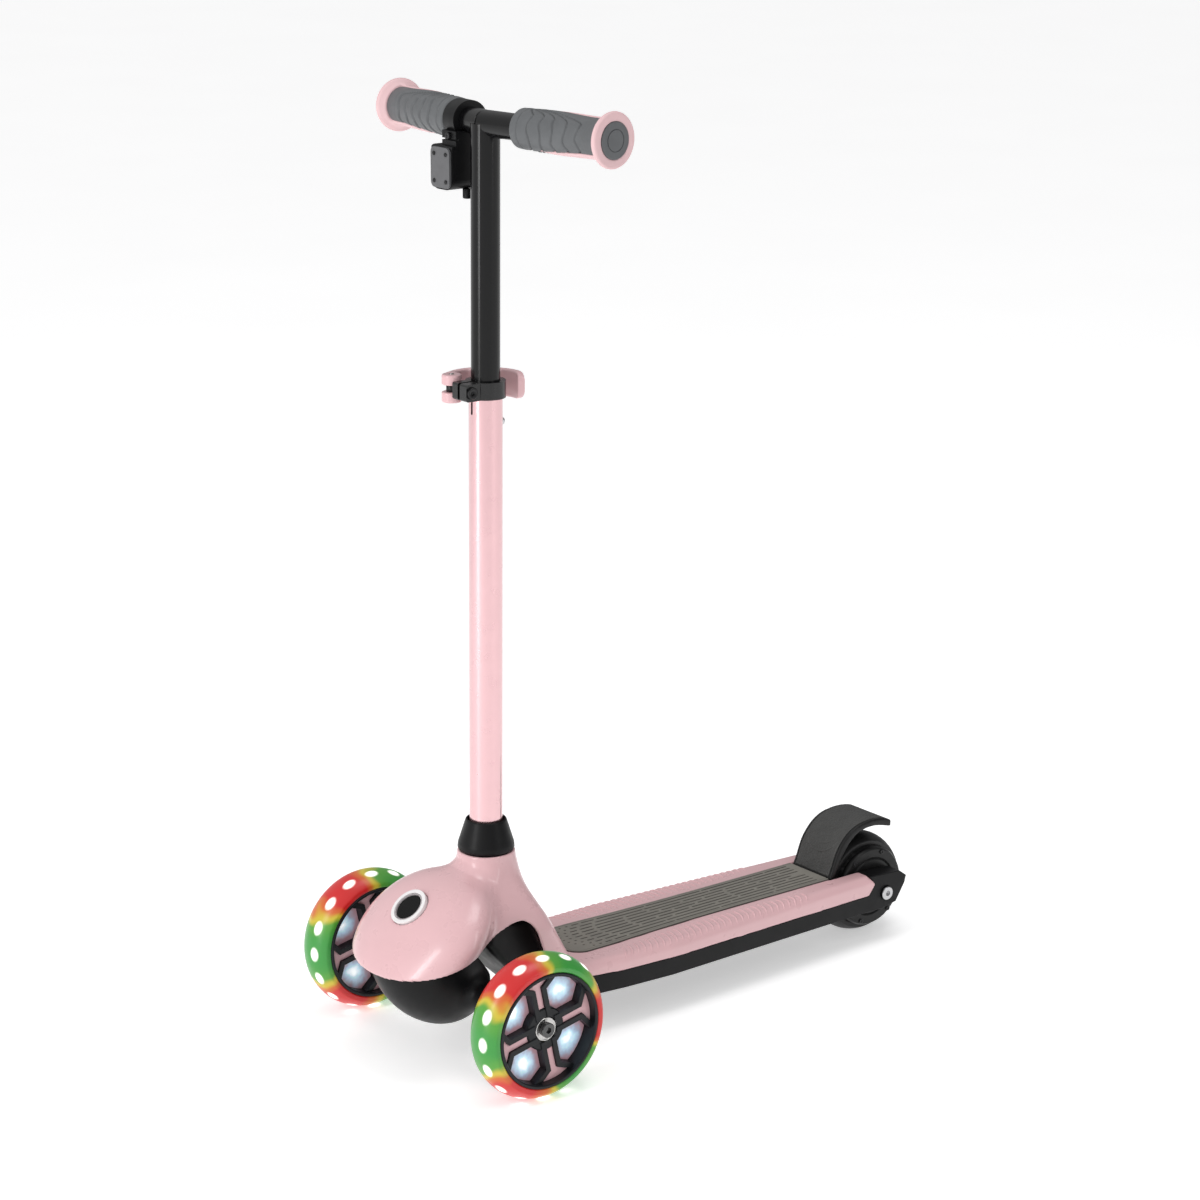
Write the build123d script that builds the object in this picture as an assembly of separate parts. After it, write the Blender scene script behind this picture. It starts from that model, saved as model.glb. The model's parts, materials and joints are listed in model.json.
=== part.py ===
from build123d import *
import os
from math import cos, radians, sin, tan

# Three-wheeled kick scooter. Millimetres, Z up, the scooter faces -Y, the rider's left is +X.
# Pieces are drawn with the front axle at Y = 0 and the floor at Z = -ride_lift, then moved to the frame.

# Driving dimensions
ride_lift = 2.5
front_wheel_radius = 63.5
front_wheel_half_width = 18.0
half_track = 127.0
wheelbase = 470.5
rear_wheel_radius = 48.0
nose_reach = 82.0
frame_shift = (nose_reach - wheelbase - rear_wheel_radius) / 2

# Steering column: leans back slightly, positions are heights along its own axis
column_foot = (0, 40.4, 200)
column_lean = 0.6
lower_tube_radius = 14.35
lower_tube_bore = 12.6
upper_tube_radius = 12.25
upper_tube_wall = 1.6
lower_tube_bottom = -88.0
lower_tube_top = 383.0
upper_tube_bottom = 232.0
bar_height = 597.5
clamp_height = 377.6
snap_height = 348.0
height_steps = (0, 45, 90, 135)

# Handlebar
bar_radius = 11.0
bar_wall = 1.8
bar_sweep = 6.5
grip_end = 146.8
left_grip_start = 45.0
right_grip_start = 44.5
grip_radius = 16.5
flange_radius = 22.8
flange_out = 150.55

# Lean-to-steer pivot: its axis runs up and forward through the middle of the nose button
pivot_top = (0, -42, 138)
pivot_rise = 50.0
pivot_pin_radius = 5.0

# Deck
deck_bottom_front = 36.0
deck_bottom_rear = 31.0
cover_wall = 3.0
wheel_slot_half = 28.8
brake_pivot = (419.0, 55.0)
brake_half_width = 27.0
brake_pin_radius = 2.0
brake_pin_half = 36.0
rear_arm_face = 46.3

running_gap = 0.05
free_gap = 0.35
axle_radius = 4.0
bearing_radius = 11.0
bearing_width = 7.0

column = Plane(
    origin=column_foot,
    x_dir=(1, 0, 0),
    z_dir=(0, sin(radians(column_lean)), cos(radians(column_lean))),
)
pivot = Plane(
    origin=pivot_top,
    x_dir=(1, 0, 0),
    z_dir=(0, -cos(radians(pivot_rise)), sin(radians(pivot_rise))),
)
front_axle_centre = Pos(0, 0, front_wheel_radius - ride_lift)
rear_axle_centre = Pos(0, wheelbase, rear_wheel_radius - ride_lift)


# Shared shapes


def save(node, shape):
    """Write one node, moved from the front-axle drawing position to the frame."""
    export_step(Pos(0, frame_shift, ride_lift) * shape, f"parts/{node}.step")


def rod_z(radius, low, high, hole=0.0):
    """Round bar or tube along Z from low to high."""
    bar = Cylinder(radius, high - low)
    if hole:
        bar -= Cylinder(hole, high - low)
    return Pos(0, 0, (low + high) / 2) * bar


def rod_x(radius, low, high, hole=0.0):
    """Round bar or tube along X from low to high."""
    return Rot(0, 90, 0) * rod_z(radius, low, high, hole)


def side_plate(points, half_width):
    """Outline in (Y, Z) given thickness equally to both sides of the centre plane."""
    face = Plane.YZ * make_face(Polyline(*points, close=True))
    return extrude(face, half_width, both=True)


def plan_plate(points, low, high):
    """Outline in (X, Y) given thickness from low to high."""
    face = Pos(0, 0, low) * make_face(Polyline(*points, close=True))
    return extrude(face, high - low)


def front_plate(points, near, far):
    """Outline in (X, Z) given thickness from Y = near to Y = far."""
    face = Plane(origin=(0, far, 0), x_dir=(1, 0, 0), z_dir=(0, -1, 0)) * make_face(
        Polyline(*points, close=True)
    )
    return extrude(face, far - near)


def mirrored(half):
    """Close an outline of (x, other) points by adding the same points with x reversed."""
    return half + [(-x, other) for x, other in reversed(half)]


def turned(points, angle=360.0):
    """Solid of revolution about X from (x, radius) points."""
    return revolve(make_face(Polyline(*points, close=True)), Axis.X, angle)


def hex_socket(across_flats, depth):
    """Hexagonal recess shape standing on Z = 0."""
    return extrude(RegularPolygon(across_flats / 2, 6, major_radius=False), depth)


def socket_head(radius, height, across_flats):
    """Screw head standing on Z = 0 with a hexagonal recess in its top."""
    head = chamfer(Cylinder(radius, height).edges().sort_by(Axis.Z)[-1], height * 0.15)
    head = Pos(0, 0, height / 2) * head
    return head - Pos(0, 0, height * 0.4) * hex_socket(across_flats, height)


def both_sides(piece):
    """A piece and its mirror image across the centre plane."""
    return [piece, mirror(piece, Plane.YZ)]


# Front wheels

rim_radius = 50.8
rim_inner_radius = 47.6
rim_half_width = 18.4
hub_radius = 19.0
hub_half_width = 11.8
bearing_face = 12.0
spoke_count = 4
spoke_turn = 12.0
spoke_bend = 38.5
spoke_gap = 6.8
spoke_thickness = 4.5
spoke_flare = 60.0
spoke_half_width = 12.8
panel_half_width = 10.5
pane_half_width = 4.0
light_ring_radius = 52.4
light_ring_half_width = 7.0
shoulder = 55.0


def spoke_outline(edge):
    """Y-shaped area between one pair of spoke bars, grown outwards by edge."""
    stem = spoke_gap / 2 + edge
    bend = spoke_bend - edge * tan(radians(90 - spoke_flare))
    reach = rim_inner_radius + 1.5
    mouth = stem + (reach - bend) * tan(radians(spoke_flare))
    points = [
        (10, -stem),
        (bend, -stem),
        (reach, -mouth),
        (reach, mouth),
        (bend, stem),
        (10, stem),
    ]
    return make_face(Polyline(*points, close=True))


def spoke_star(edge, half_width):
    """All the Y-shaped areas of a wheel as a solid."""
    star = None
    for index in range(spoke_count):
        angle = spoke_turn + index * 360 / spoke_count
        arm = Plane.YZ * Rot(0, 0, angle) * spoke_outline(edge)
        arm = extrude(arm, half_width, both=True)
        star = arm if star is None else star + arm
    return star


def bearing_pair(outer_face):
    """Two ball bearings with recessed shields, outer faces at plus and minus outer_face."""
    inner_face = outer_face - bearing_width
    shield = 0.7
    bore = axle_radius + running_gap
    profile = [
        (inner_face, bore),
        (inner_face, 6.0),
        (inner_face + shield, 6.0),
        (inner_face + shield, 9.2),
        (inner_face, 9.2),
        (inner_face, bearing_radius),
        (outer_face, bearing_radius),
        (outer_face, 9.2),
        (outer_face - shield, 9.2),
        (outer_face - shield, 6.0),
        (outer_face, 6.0),
        (outer_face, bore),
    ]
    return Compound(both_sides(turned(profile)))


def wheel_bore(outer_face):
    """Space for the two bearings and the axle inside a wheel hub."""
    seat = outer_face - bearing_width
    bore = rod_x(6.5, -outer_face - 5, outer_face + 5)
    bore += rod_x(bearing_radius, seat, outer_face + 5)
    bore += rod_x(bearing_radius, -outer_face - 5, -seat)
    return bore


def front_rim():
    """Recessed hub, four pairs of bent spoke bars and an outer ring."""
    bars = spoke_star(spoke_thickness, spoke_half_width)
    bars &= rod_x(rim_inner_radius + 0.8, -20, 20)
    bars -= spoke_star(0, 20)
    ring = rod_x(rim_radius, -rim_half_width, rim_half_width, rim_inner_radius)
    ring = chamfer(ring.edges().group_by(Axis.X)[0], 0.8)
    ring = chamfer(ring.edges().group_by(Axis.X)[-1], 0.8)
    hub = rod_x(hub_radius, -hub_half_width, hub_half_width)
    hub = chamfer(hub.edges().filter_by(GeomType.CIRCLE), 1.2)
    return bars + ring + hub - wheel_bore(bearing_face)


def front_panels():
    """Four Y-shaped inserts that fill the space between each pair of spoke bars."""
    return spoke_star(0, panel_half_width) & rod_x(rim_inner_radius, -20, 20, hub_radius)


def front_windows():
    """Four clear panes between the spoke pairs."""
    pane = rod_x(rim_inner_radius, -pane_half_width, pane_half_width, hub_radius)
    return pane - spoke_star(spoke_thickness, 20)


def front_light_ring():
    """Light strip bedded between rim and tyre."""
    half = light_ring_half_width
    return rod_x(light_ring_radius, -half, half, rim_radius)


def front_tyre():
    """Rounded tyre with a groove inside for the light strip."""
    side = front_wheel_half_width
    crown = front_wheel_radius
    bead = rim_radius + 1
    base = Polyline((side, shoulder), (side, bead), (side - 1, rim_radius), (1 - side, rim_radius))
    left = Polyline((1 - side, rim_radius), (-side, bead), (-side, shoulder))
    tread = ThreePointArc((-side, shoulder), (0, crown), (side, shoulder))
    tyre = revolve(make_face(base + left + tread), Axis.X)
    return tyre - front_light_ring()


def front_wheel_pieces(side):
    """Name and shape of every piece of one front wheel, side +1 left or -1 right."""
    word = "left" if side > 0 else "right"
    place = front_axle_centre * Pos(side * half_track, 0, 0)
    return {
        f"{word}_rim": place * front_rim(),
        f"{word}_rim_panels": place * front_panels(),
        f"{word}_rim_windows": place * front_windows(),
        f"{word}_light_ring": place * front_light_ring(),
        f"{word}_tyre": place * front_tyre(),
        f"{word}_bearings": place * bearing_pair(bearing_face),
    }


# Front axle truck

truck_arm_end = 114.0
truck_rim = -14.0
truck_pivot_top = -46.0
truck_pivot_bottom = -106.0
axle_rod_radius = 6.0
axle_rod_half = 114.6
axle_bolt_start = 88.0


def truck_bowl(inset):
    """Bowl in front of the steering pivot, cut flat behind it; inset shrinks it all round."""
    bowl = scale(Sphere(1), by=(48 - inset, 47.4 - inset, 62.4 - inset))
    bowl = Pos(0, -20, -57) * bowl
    keep = Pos(0, 5 - inset - 60, truck_rim - 60) * Box(120, 120, 120)
    return bowl & keep


def truck_body():
    """Bowl-shaped carrier with pivot boss and an arm to each front wheel."""
    body = truck_bowl(0)
    cavity = truck_bowl(4) & Pos(0, 0, -40) * Box(200, 200, 60)
    cavity += rod_z(34, truck_pivot_top, 0)
    body = body - cavity
    body += rod_z(12, truck_pivot_bottom, truck_pivot_top)
    body = pivot * body
    arm_length = truck_arm_end - 30
    arm = Rot(0, 90, 0) * Cone(15, 10, arm_length)
    arm = front_axle_centre * Pos(30 + arm_length / 2, 0, 0) * arm
    body = body + both_sides(arm)
    body -= front_axle_centre * rod_x(axle_rod_radius, -130, 130)
    body -= pivot * rod_z(9.6, truck_pivot_bottom - 30, truck_pivot_bottom)
    return body - pivot * rod_z(pivot_pin_radius + running_gap, -130, 0)


def front_axle():
    """Steel rod through the truck, bored at both ends for the wheel bolts."""
    rod = rod_x(axle_rod_radius, -axle_rod_half, axle_rod_half)
    for hole in both_sides(rod_x(axle_radius, axle_bolt_start, 130)):
        rod -= hole
    return front_axle_centre * rod


def wheel_bolt(start, face):
    """Socket bolt along +X: shank from start, head outside face."""
    head = Pos(face, 0, 0) * Rot(0, 90, 0) * socket_head(6.4, 3.6, 5)
    return rod_x(axle_radius, start, face) + head


def front_wheel_bolts():
    """Two socket bolts that carry the front wheels."""
    bolt = wheel_bolt(axle_bolt_start, half_track + bearing_face + 0.3)
    return front_axle_centre * Compound(both_sides(bolt))


# Steering neck and pivot pin

head_plate_top = -30.0
head_plate_bottom = -44.5
neck_half_width = 34.0
socket_radius = 19.5
socket_bottom = -96.0
socket_top = -28.0
neck_back = 88.0


def steering_neck():
    """Bracket that joins the chassis, the column socket and the pivot head plate."""
    side = [
        (16.5, 97),
        (33.5, 77),
        (57.5, 50),
        (69, deck_bottom_front + 3),
        (neck_back, deck_bottom_front),
        (neck_back, 56),
        (76, 84),
        (64, 112),
        (40, 116),
        (18, 112),
    ]
    plate_thickness = head_plate_top - head_plate_bottom
    plate = rod_z(28, head_plate_bottom, head_plate_top)
    plate += Pos(0, 22, head_plate_bottom + plate_thickness / 2) * Box(44, 44, plate_thickness)
    neck = side_plate(side, neck_half_width) + pivot * plate
    neck += column * rod_z(socket_radius, socket_bottom, socket_top)
    neck -= column * rod_z(lower_tube_radius, lower_tube_bottom, 0)
    return neck - pivot * rod_z(pivot_pin_radius, -60, -20)


def pivot_pin():
    """Steering pivot: pin with a round head above the head plate."""
    pin = rod_z(pivot_pin_radius, -112, head_plate_top)
    pin += rod_z(8.5, head_plate_top, head_plate_top + 4)
    return pivot * pin


def pivot_nut():
    """Hexagon nut that keeps the truck on the pivot pin."""
    nut = extrude(RegularPolygon(7.5, 6, major_radius=False), 5)
    nut -= Cylinder(pivot_pin_radius, 20)
    return pivot * Pos(0, 0, -111.5) * nut


# Nose shell

shell_joint = 104.0
shell_top = 172.6
cover_top = 65.8
nose_rim_front = (-76, 88.5)
nose_rim_slope = 18.0
lens_ring_radius = 17.5
inner_ring_radius = 14.0
button_radius = 12.3


def nose_dome(inset):
    """Flattened dome over the truck, as an ellipsoid square to the steering pivot."""
    dome = scale(Sphere(1), by=(72 - inset, 67.5 - inset, 29 - inset))
    return pivot * Pos(0, -8, -30) * dome


def below_rim():
    """Space under the sloping lower rim of the dome."""
    slope = radians(nose_rim_slope)
    up = (0, -sin(slope), cos(slope))
    rim_plane = Plane(origin=(0, *nose_rim_front), x_dir=(1, 0, 0), z_dir=up)
    return rim_plane * Pos(0, 0, -100) * Box(300, 500, 200)


def neck_front_view(inset, bottom):
    """Half outline (X, Z) of the neck seen from the front, widening downwards."""
    half = [
        (24.9, shell_top + inset * 3),
        (26, 165),
        (30.5, 151),
        (35, 143),
        (41, 136),
        (48, 128),
        (54, 118),
        (57.5, 105),
        (58, bottom),
    ]
    return mirrored([(x - inset, z) for x, z in half])


def neck_skin():
    """Outside of the neck that flares from the column into the deck."""
    side = [
        (-20, 107),
        (-22, 150),
        (-5, 158.5),
        (10, 160.5),
        (15.4, 166),
        (15.8, shell_top),
        (64.8, shell_top),
        (66, 148),
        (70, 130),
        (76, 112),
        (82, 98),
        (88, 85),
        (94, 74),
        (shell_joint, cover_top),
        (shell_joint, 54.4),
        (88, 56),
        (76, 63),
        (66, 76),
        (59, 93),
        (52, 112),
        (42, 121),
        (28, 120),
        (0, 113),
    ]
    front = neck_front_view(0, 50)
    return side_plate(side, 60) & front_plate(front, -40, 120)


def neck_hollow():
    """Inside of the neck, open downwards and towards the deck."""
    side = [
        (-17, 90),
        (-17, 148.5),
        (-4, 155.2),
        (18.8, 157.5),
        (18.8, 180),
        (61.8, 180),
        (62.8, 147),
        (66.9, 129),
        (72.9, 110.7),
        (78.9, 96.6),
        (84.9, 83.4),
        (91.5, 71.4),
        (shell_joint - 4, cover_top - cover_wall),
        (110, cover_top - cover_wall),
        (110, 40),
        (60, 40),
        (20, 90),
    ]
    front = neck_front_view(cover_wall, 30)
    return side_plate(side, 60) & front_plate(front, -40, 120)


def nose_shell():
    """Thin pink cover over the truck and round the neck."""
    shell = (nose_dome(0) - below_rim()) + neck_skin()
    shell -= nose_dome(cover_wall)
    shell -= neck_hollow()
    shell -= pivot * rod_z(lens_ring_radius, -20, 20)
    return shell


# Nose button


def nose_ring():
    """Outer trim ring round the nose button."""
    ring = rod_z(lens_ring_radius, -5.5, 0.6, inner_ring_radius)
    return pivot * fillet(ring.edges().group_by(Axis.Z)[-1], 0.4)


def nose_ring_inner():
    """Inner trim ring round the nose button."""
    return pivot * rod_z(inner_ring_radius, -5.5, 0.2, button_radius + free_gap)


def lock_button():
    """Push button that locks the steering, with its plunger."""
    cap = rod_z(button_radius, -7, -0.4)
    cap = fillet(cap.edges().group_by(Axis.Z)[-1], 1.2)
    return pivot * (cap + rod_z(4, -19, -7))


# Chassis and deck

cavity_front = 98.0
cavity_back = 398.0
slot_front = 414.3
chassis_inset = 1.0
deck_flat_end = 440.0


def plan_half(grow):
    """Half outline (X, Y) of the deck seen from above, front to back."""
    return [
        (46 + grow, 88),
        (57 + grow, shell_joint),
        (60.5 + grow, 147),
        (62 + grow, 200),
        (48.5 + grow, 430),
        (47.5 + grow, 456),
        (46.5 + grow, 500),
    ]


def deck_plan(grow):
    """Closed deck outline seen from above."""
    return mirrored(plan_half(grow))


def wheel_slot():
    """Space between the fork arms for the rear wheel and the brake."""
    return Pos(0, slot_front + 100, 50) * Box(2 * wheel_slot_half, 200, 200)


def chassis_side():
    """Side view of the chassis tray and fork arms."""
    return [
        (neck_back, deck_bottom_front),
        (deck_flat_end, deck_bottom_rear),
        (466, deck_bottom_rear - 0.5),
        (484, 33.5),
        (495, 50),
        (497, 57),
        (488, 63.5),
        (449.6, cover_top),
        (456, 57),
        (448, 47.2),
        (430, 47.5),
        (147, 52.2),
        (shell_joint, 54.4),
        (neck_back, 55.2),
    ]


def chassis():
    """Hollow tray under the deck with two fork arms for the rear wheel."""
    body = side_plate(chassis_side(), 70) & plan_plate(deck_plan(-chassis_inset), 0, 100)
    inner = [
        (cavity_front, deck_bottom_front + 3),
        (cavity_back, deck_bottom_rear + 3.8),
        (cavity_back, 80),
        (cavity_front, 80),
    ]
    body -= side_plate(inner, 70) & plan_plate(deck_plan(-chassis_inset - 4), 0, 100)
    lug = Pos(32.4, brake_pivot[0] + 1, 54.5) * Box(7.2, 16, 15)
    body = body + both_sides(lug)
    body -= wheel_slot()
    body -= rear_axle_centre * rod_x(axle_radius, -60, 60)
    for seat in both_sides(rod_x(7, rear_arm_face - 1, 60)):
        body -= rear_axle_centre * seat
    return body - brake_pin()


def deck_cover():
    """Thin pink top cover with rounded shoulders and pointed rear ends."""
    side = [
        (shell_joint, 54.4),
        (147, 52.2),
        (430, 47.5),
        (448, 47.2),
        (456, 57),
        (449.6, cover_top),
        (shell_joint, cover_top),
    ]
    body = side_plate(side, 70) & plan_plate(deck_plan(0), 0, 100)
    long_edges = body.edges().filter_by(lambda edge: abs(edge.center().Z - cover_top) < 0.01)
    long_edges = long_edges.filter_by(lambda edge: abs(edge.center().X) > 40)
    body = fillet(long_edges, 8)
    inner = [
        (shell_joint - 5, 40),
        (452, 40),
        (452, 44),
        (449, cover_top - cover_wall),
        (shell_joint - 5, cover_top - cover_wall),
    ]
    body -= side_plate(inner, 70) & plan_plate(deck_plan(-cover_wall), 0, 100)
    body -= mat_block(0, cover_top - 1, cover_top + 5)
    return body - wheel_slot()


def mat_block(grow, low, high):
    """Grip mat outline between two heights."""
    half = [
        (32, 112),
        (32, 150),
        (29.5, 200),
        (28, 250),
        (27.5, 300),
        (28, slot_front - 0.3),
    ]
    block = plan_plate(mirrored(half), low, high)
    front_edges = block.edges().filter_by(Axis.Z).group_by(Axis.Y)[0]
    return fillet(front_edges, 17)


def grip_mat():
    """Flat rubber mat let into the deck cover."""
    return mat_block(0, cover_top - 1, cover_top + 1)


def deck_screws():
    """Screws from below that hold the deck cover to the chassis tray."""
    screws = []
    fall = (deck_bottom_front - deck_bottom_rear) / (deck_flat_end - neck_back)
    for y in (110, 250, 390):
        underside = deck_bottom_front - fall * (y - neck_back)
        screw = Rot(180, 0, 0) * socket_head(3.5, 1.6, 2.5)
        screw = Pos(38, y, underside - 0.06) * screw
        screws += both_sides(screw)
    return Compound(screws)


# Rear brake


def brake_pedal():
    """Curved foot brake over the rear wheel, hinged in front of it."""
    side = [
        (415.6, 58),
        (417, 65),
        (420.5, 73),
        (426, 87),
        (431, 95),
        (438, 102.5),
        (445, 107.3),
        (453, 110.6),
        (463, 112.2),
        (473, 112.6),
        (486, 110.8),
        (493.5, 107.4),
        (493, 101.4),
        (473, 106.0),
        (455, 104.4),
        (443, 97.2),
        (432.5, 84),
        (426, 72),
        (422, 62),
        (422, 56),
    ]
    pedal = side_plate(side, brake_half_width)
    y, z = brake_pivot
    knuckle = Pos(0, y, z) * rod_x(4, -brake_half_width, brake_half_width)
    pedal += knuckle
    return pedal - Pos(0, y, z) * rod_x(brake_pin_radius + running_gap, -40, 40)


def brake_pin():
    """Hinge pin of the foot brake."""
    return Pos(0, *brake_pivot) * rod_x(brake_pin_radius, -brake_pin_half, brake_pin_half)


# Rear wheel

rear_hub_radius = 38.5
rear_tyre_half = 17.0
rear_barrel_half = 20.0
rear_cover_face = 25.6
screw_circle = 34.5


def rear_tyre():
    """Wide rounded tyre of the rear wheel."""
    profile = Polyline(
        (rear_tyre_half, 42.5),
        (rear_tyre_half, rear_hub_radius),
        (-rear_tyre_half, rear_hub_radius),
        (-rear_tyre_half, 42.5),
    )
    tread = ThreePointArc((-rear_tyre_half, 42.5), (0, rear_wheel_radius), (rear_tyre_half, 42.5))
    return rear_axle_centre * revolve(make_face(profile + tread), Axis.X)


def rear_hub():
    """Wide drum in the middle of the rear wheel."""
    drum = rod_x(rear_hub_radius, -rear_barrel_half, rear_barrel_half)
    return rear_axle_centre * (drum - rod_x(bearing_radius, -60, 60))


def rear_hub_covers():
    """Two stepped side covers of the rear wheel drum."""
    profile = [
        (rear_barrel_half, bearing_radius),
        (rear_barrel_half, rear_hub_radius),
        (22.5, rear_hub_radius),
        (rear_cover_face, 36.8),
        (rear_cover_face, 28.2),
        (rear_cover_face - 0.8, 28.2),
        (rear_cover_face - 0.8, 27),
        (rear_cover_face, 27),
        (rear_cover_face, bearing_radius),
    ]
    return rear_axle_centre * Compound(both_sides(turned(profile)))


def rear_hub_screws():
    """Six small screws in each side cover."""
    screws = []
    for index in range(6):
        angle = 69 + 60 * index
        head = Pos(rear_cover_face, 0, 0) * Rot(0, 90, 0) * socket_head(2.2, 1.1, 1.8)
        screws += both_sides(Rot(angle, 0, 0) * Pos(0, screw_circle, 0) * head)
    return rear_axle_centre * Compound(screws)


def rear_bearings():
    """Two ball bearings of the rear wheel."""
    return rear_axle_centre * bearing_pair(rear_cover_face)


def rear_spacers():
    """Two spacer rings between bearings and fork arms."""
    ring = rod_x(7, rear_cover_face + 0.3, wheel_slot_half, axle_radius)
    return rear_axle_centre * Compound(both_sides(ring))


def rear_axle():
    """Steel axle through the rear wheel and both fork arms."""
    return rear_axle_centre * rod_x(axle_radius, -rear_arm_face + 1, rear_arm_face - 1)


def rear_axle_bolts():
    """Bright socket heads on both ends of the rear axle."""
    head = Pos(rear_arm_face - 1, 0, 0) * Rot(0, 90, 0) * socket_head(6.5, 4, 5)
    return rear_axle_centre * Compound(both_sides(head))


# Column tubes and collar

collar_bottom = -26.9
collar_top = 0.5
snap_radius = 3.25
snap_hole_radius = 4.2


def lower_tube():
    """Outer column tube with a clamping slit at the top and a hole for the snap button."""
    tube = rod_z(lower_tube_radius, lower_tube_bottom, lower_tube_top, lower_tube_bore)
    slit_bottom = snap_height + 10
    slit = Pos(12, 0, slit_bottom + 40) * Box(14, 2.5, 80)
    slit += Pos(12, 0, slit_bottom) * Rot(0, 90, 0) * Cylinder(1.25, 14)
    tube -= Rot(0, 0, -90) * slit
    tube -= Pos(0, 12, snap_height) * Rot(90, 0, 0) * Cylinder(snap_radius + free_gap, 16)
    return column * tube


def collar():
    """Tapered collar round the foot of the column, slightly open at its top."""
    profile = [
        (lower_tube_radius, collar_bottom),
        (23.8, collar_bottom),
        (24.7, collar_bottom + 2),
        (24.3, collar_bottom + 6),
        (18.2, collar_top - 2),
        (17.4, collar_top),
        (16.2, collar_top),
        (15.6, collar_top - 8),
        (lower_tube_radius, collar_top - 9),
    ]
    face = Plane.XZ * make_face(Polyline(*profile, close=True))
    return column * revolve(face, Axis.Z)


def upper_tube():
    """Inner column tube, coped to the handlebar, with a row of height holes at the back."""
    inner = upper_tube_radius - upper_tube_wall
    tube = rod_z(upper_tube_radius, upper_tube_bottom, bar_height, inner)
    for step in height_steps:
        hole = Rot(90, 0, 0) * Cylinder(snap_hole_radius, 14)
        tube -= Pos(0, 12, snap_height + step) * hole
    return column * tube - handlebar_rod(bar_radius)


def snap_button():
    """Domed spring button at the back of the column."""
    button = Cylinder(snap_radius, 5.2)
    button = fillet(button.edges().sort_by(Axis.Z)[-1], 1.6)
    return column * Pos(0, 13.2 + 2.6, snap_height) * Rot(-90, 0, 0) * button


# Handlebar and grips

strip_start = 70.0
strip_end = 141.8
strip_inner = 14.6
strip_angle = 44.0
cap_radius = 15.0


def bar_half(side):
    """Frame of one half of the handlebar: X runs outwards along the bar."""
    place = column * Pos(0, 0, bar_height) * Rot(0, 0, bar_sweep)
    if side > 0:
        return place
    return column * Pos(0, 0, bar_height) * Rot(0, 0, 180 - bar_sweep)


def handlebar_rod(radius):
    """Solid swept-back bar, both halves."""
    return bar_half(1) * rod_x(radius, 0, grip_end) + bar_half(-1) * rod_x(radius, 0, grip_end)


def handlebar():
    """Swept-back bar tube."""
    return handlebar_rod(bar_radius) - handlebar_rod(bar_radius - bar_wall)


def strips(outer, side):
    """Two long strips on the upper and lower rear quarters of a grip."""
    profile = [
        (strip_start, strip_inner),
        (strip_end, strip_inner),
        (strip_end, outer),
        (strip_start + 8, outer),
        (strip_start, outer - 0.8),
    ]
    strip = turned(profile, strip_angle)
    upper_start = 90 - strip_angle if side > 0 else 90
    lower_start = -130 if side > 0 else -50 - strip_angle
    return Rot(upper_start, 0, 0) * strip + Rot(lower_start, 0, 0) * strip


def grip_rubber(start, side):
    """Rubber sleeve with a collar at its inner end and room for the strips."""
    profile = [
        (start, bar_radius),
        (start, 15.4),
        (start + 1.2, grip_radius),
        (start + 8, grip_radius + 0.3),
        (start + 24, 17.6),
        (96, 17.3),
        (120, 16.2),
        (strip_end, 16.0),
        (strip_end, bar_radius),
    ]
    return turned(profile) - strips(30, side)


def grip_trim(side):
    """Dished end flange in one piece with the two strips."""
    profile = [
        (strip_end, bar_radius),
        (strip_end, 17.4),
        (143.8, 19.4),
        (145.8, 21.8),
        (147.4, flange_radius),
        (149.2, flange_radius),
        (flange_out, 21.4),
        (flange_out, cap_radius),
        (grip_end + 0.2, cap_radius),
        (grip_end + 0.2, bar_radius),
    ]
    return turned(profile) + strips(17.6, side)


def grip_cap():
    """Round end cap with one concentric groove."""
    profile = [
        (grip_end + 0.2, 0),
        (grip_end + 0.2, cap_radius),
        (flange_out + 0.3, cap_radius),
        (flange_out + 0.9, cap_radius - 0.8),
        (flange_out + 0.9, 9.2),
        (flange_out + 0.3, 9.2),
        (flange_out + 0.3, 8.4),
        (flange_out + 0.9, 8.4),
        (flange_out + 0.9, 0),
    ]
    return turned(profile)


# Control unit on the rider's right, next to the column

unit_inner = -22.5
unit_outer = -52.0
unit_front = 29.0
unit_back = 61.0
unit_top = 777.0
unit_bottom = 740.5
ring_near = 25.0
ring_far = 43.0
ring_radius = 16.2
stem_outer = -42.0
unit_x = (unit_inner + unit_outer) / 2
unit_y = (unit_front + unit_back) / 2
unit_z = (unit_top + unit_bottom) / 2
stem_x = (unit_inner + stem_outer) / 2
power_button_height = 759.0
power_button_radius = 6.0


def control_unit():
    """Case hung under the bar from a clamp ring."""
    case = Box(unit_inner - unit_outer, unit_back - unit_front, unit_top - unit_bottom)
    case = fillet(case.edges().filter_by(Axis.Y).group_by(Axis.Z)[0], 9)
    case = Pos(unit_x, unit_y, unit_z) * fillet(case.edges().group_by(Axis.Z)[-1], 2.5)
    stem = Pos(stem_x, unit_y, unit_top + 2) * Box(unit_inner - stem_outer, 24, 20)
    ring = bar_half(-1) * rod_x(ring_radius, ring_near, ring_far)
    unit = case + stem + ring
    unit -= bar_half(-1) * rod_x(bar_radius, 0, 80)
    slit = Pos(stem_x, unit_front + 1, unit_top + 5) * Box(40, 12, 1.5)
    return unit - slit - power_button_seat(free_gap)


def unit_cover():
    """Flat cover on the front of the control unit."""
    width = unit_inner - unit_outer - 3
    plate = Box(width, 2, unit_top - unit_bottom - 3)
    plate = fillet(plate.edges().filter_by(Axis.Y), 5)
    return Pos(unit_x, unit_front - 1, unit_z) * plate


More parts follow.
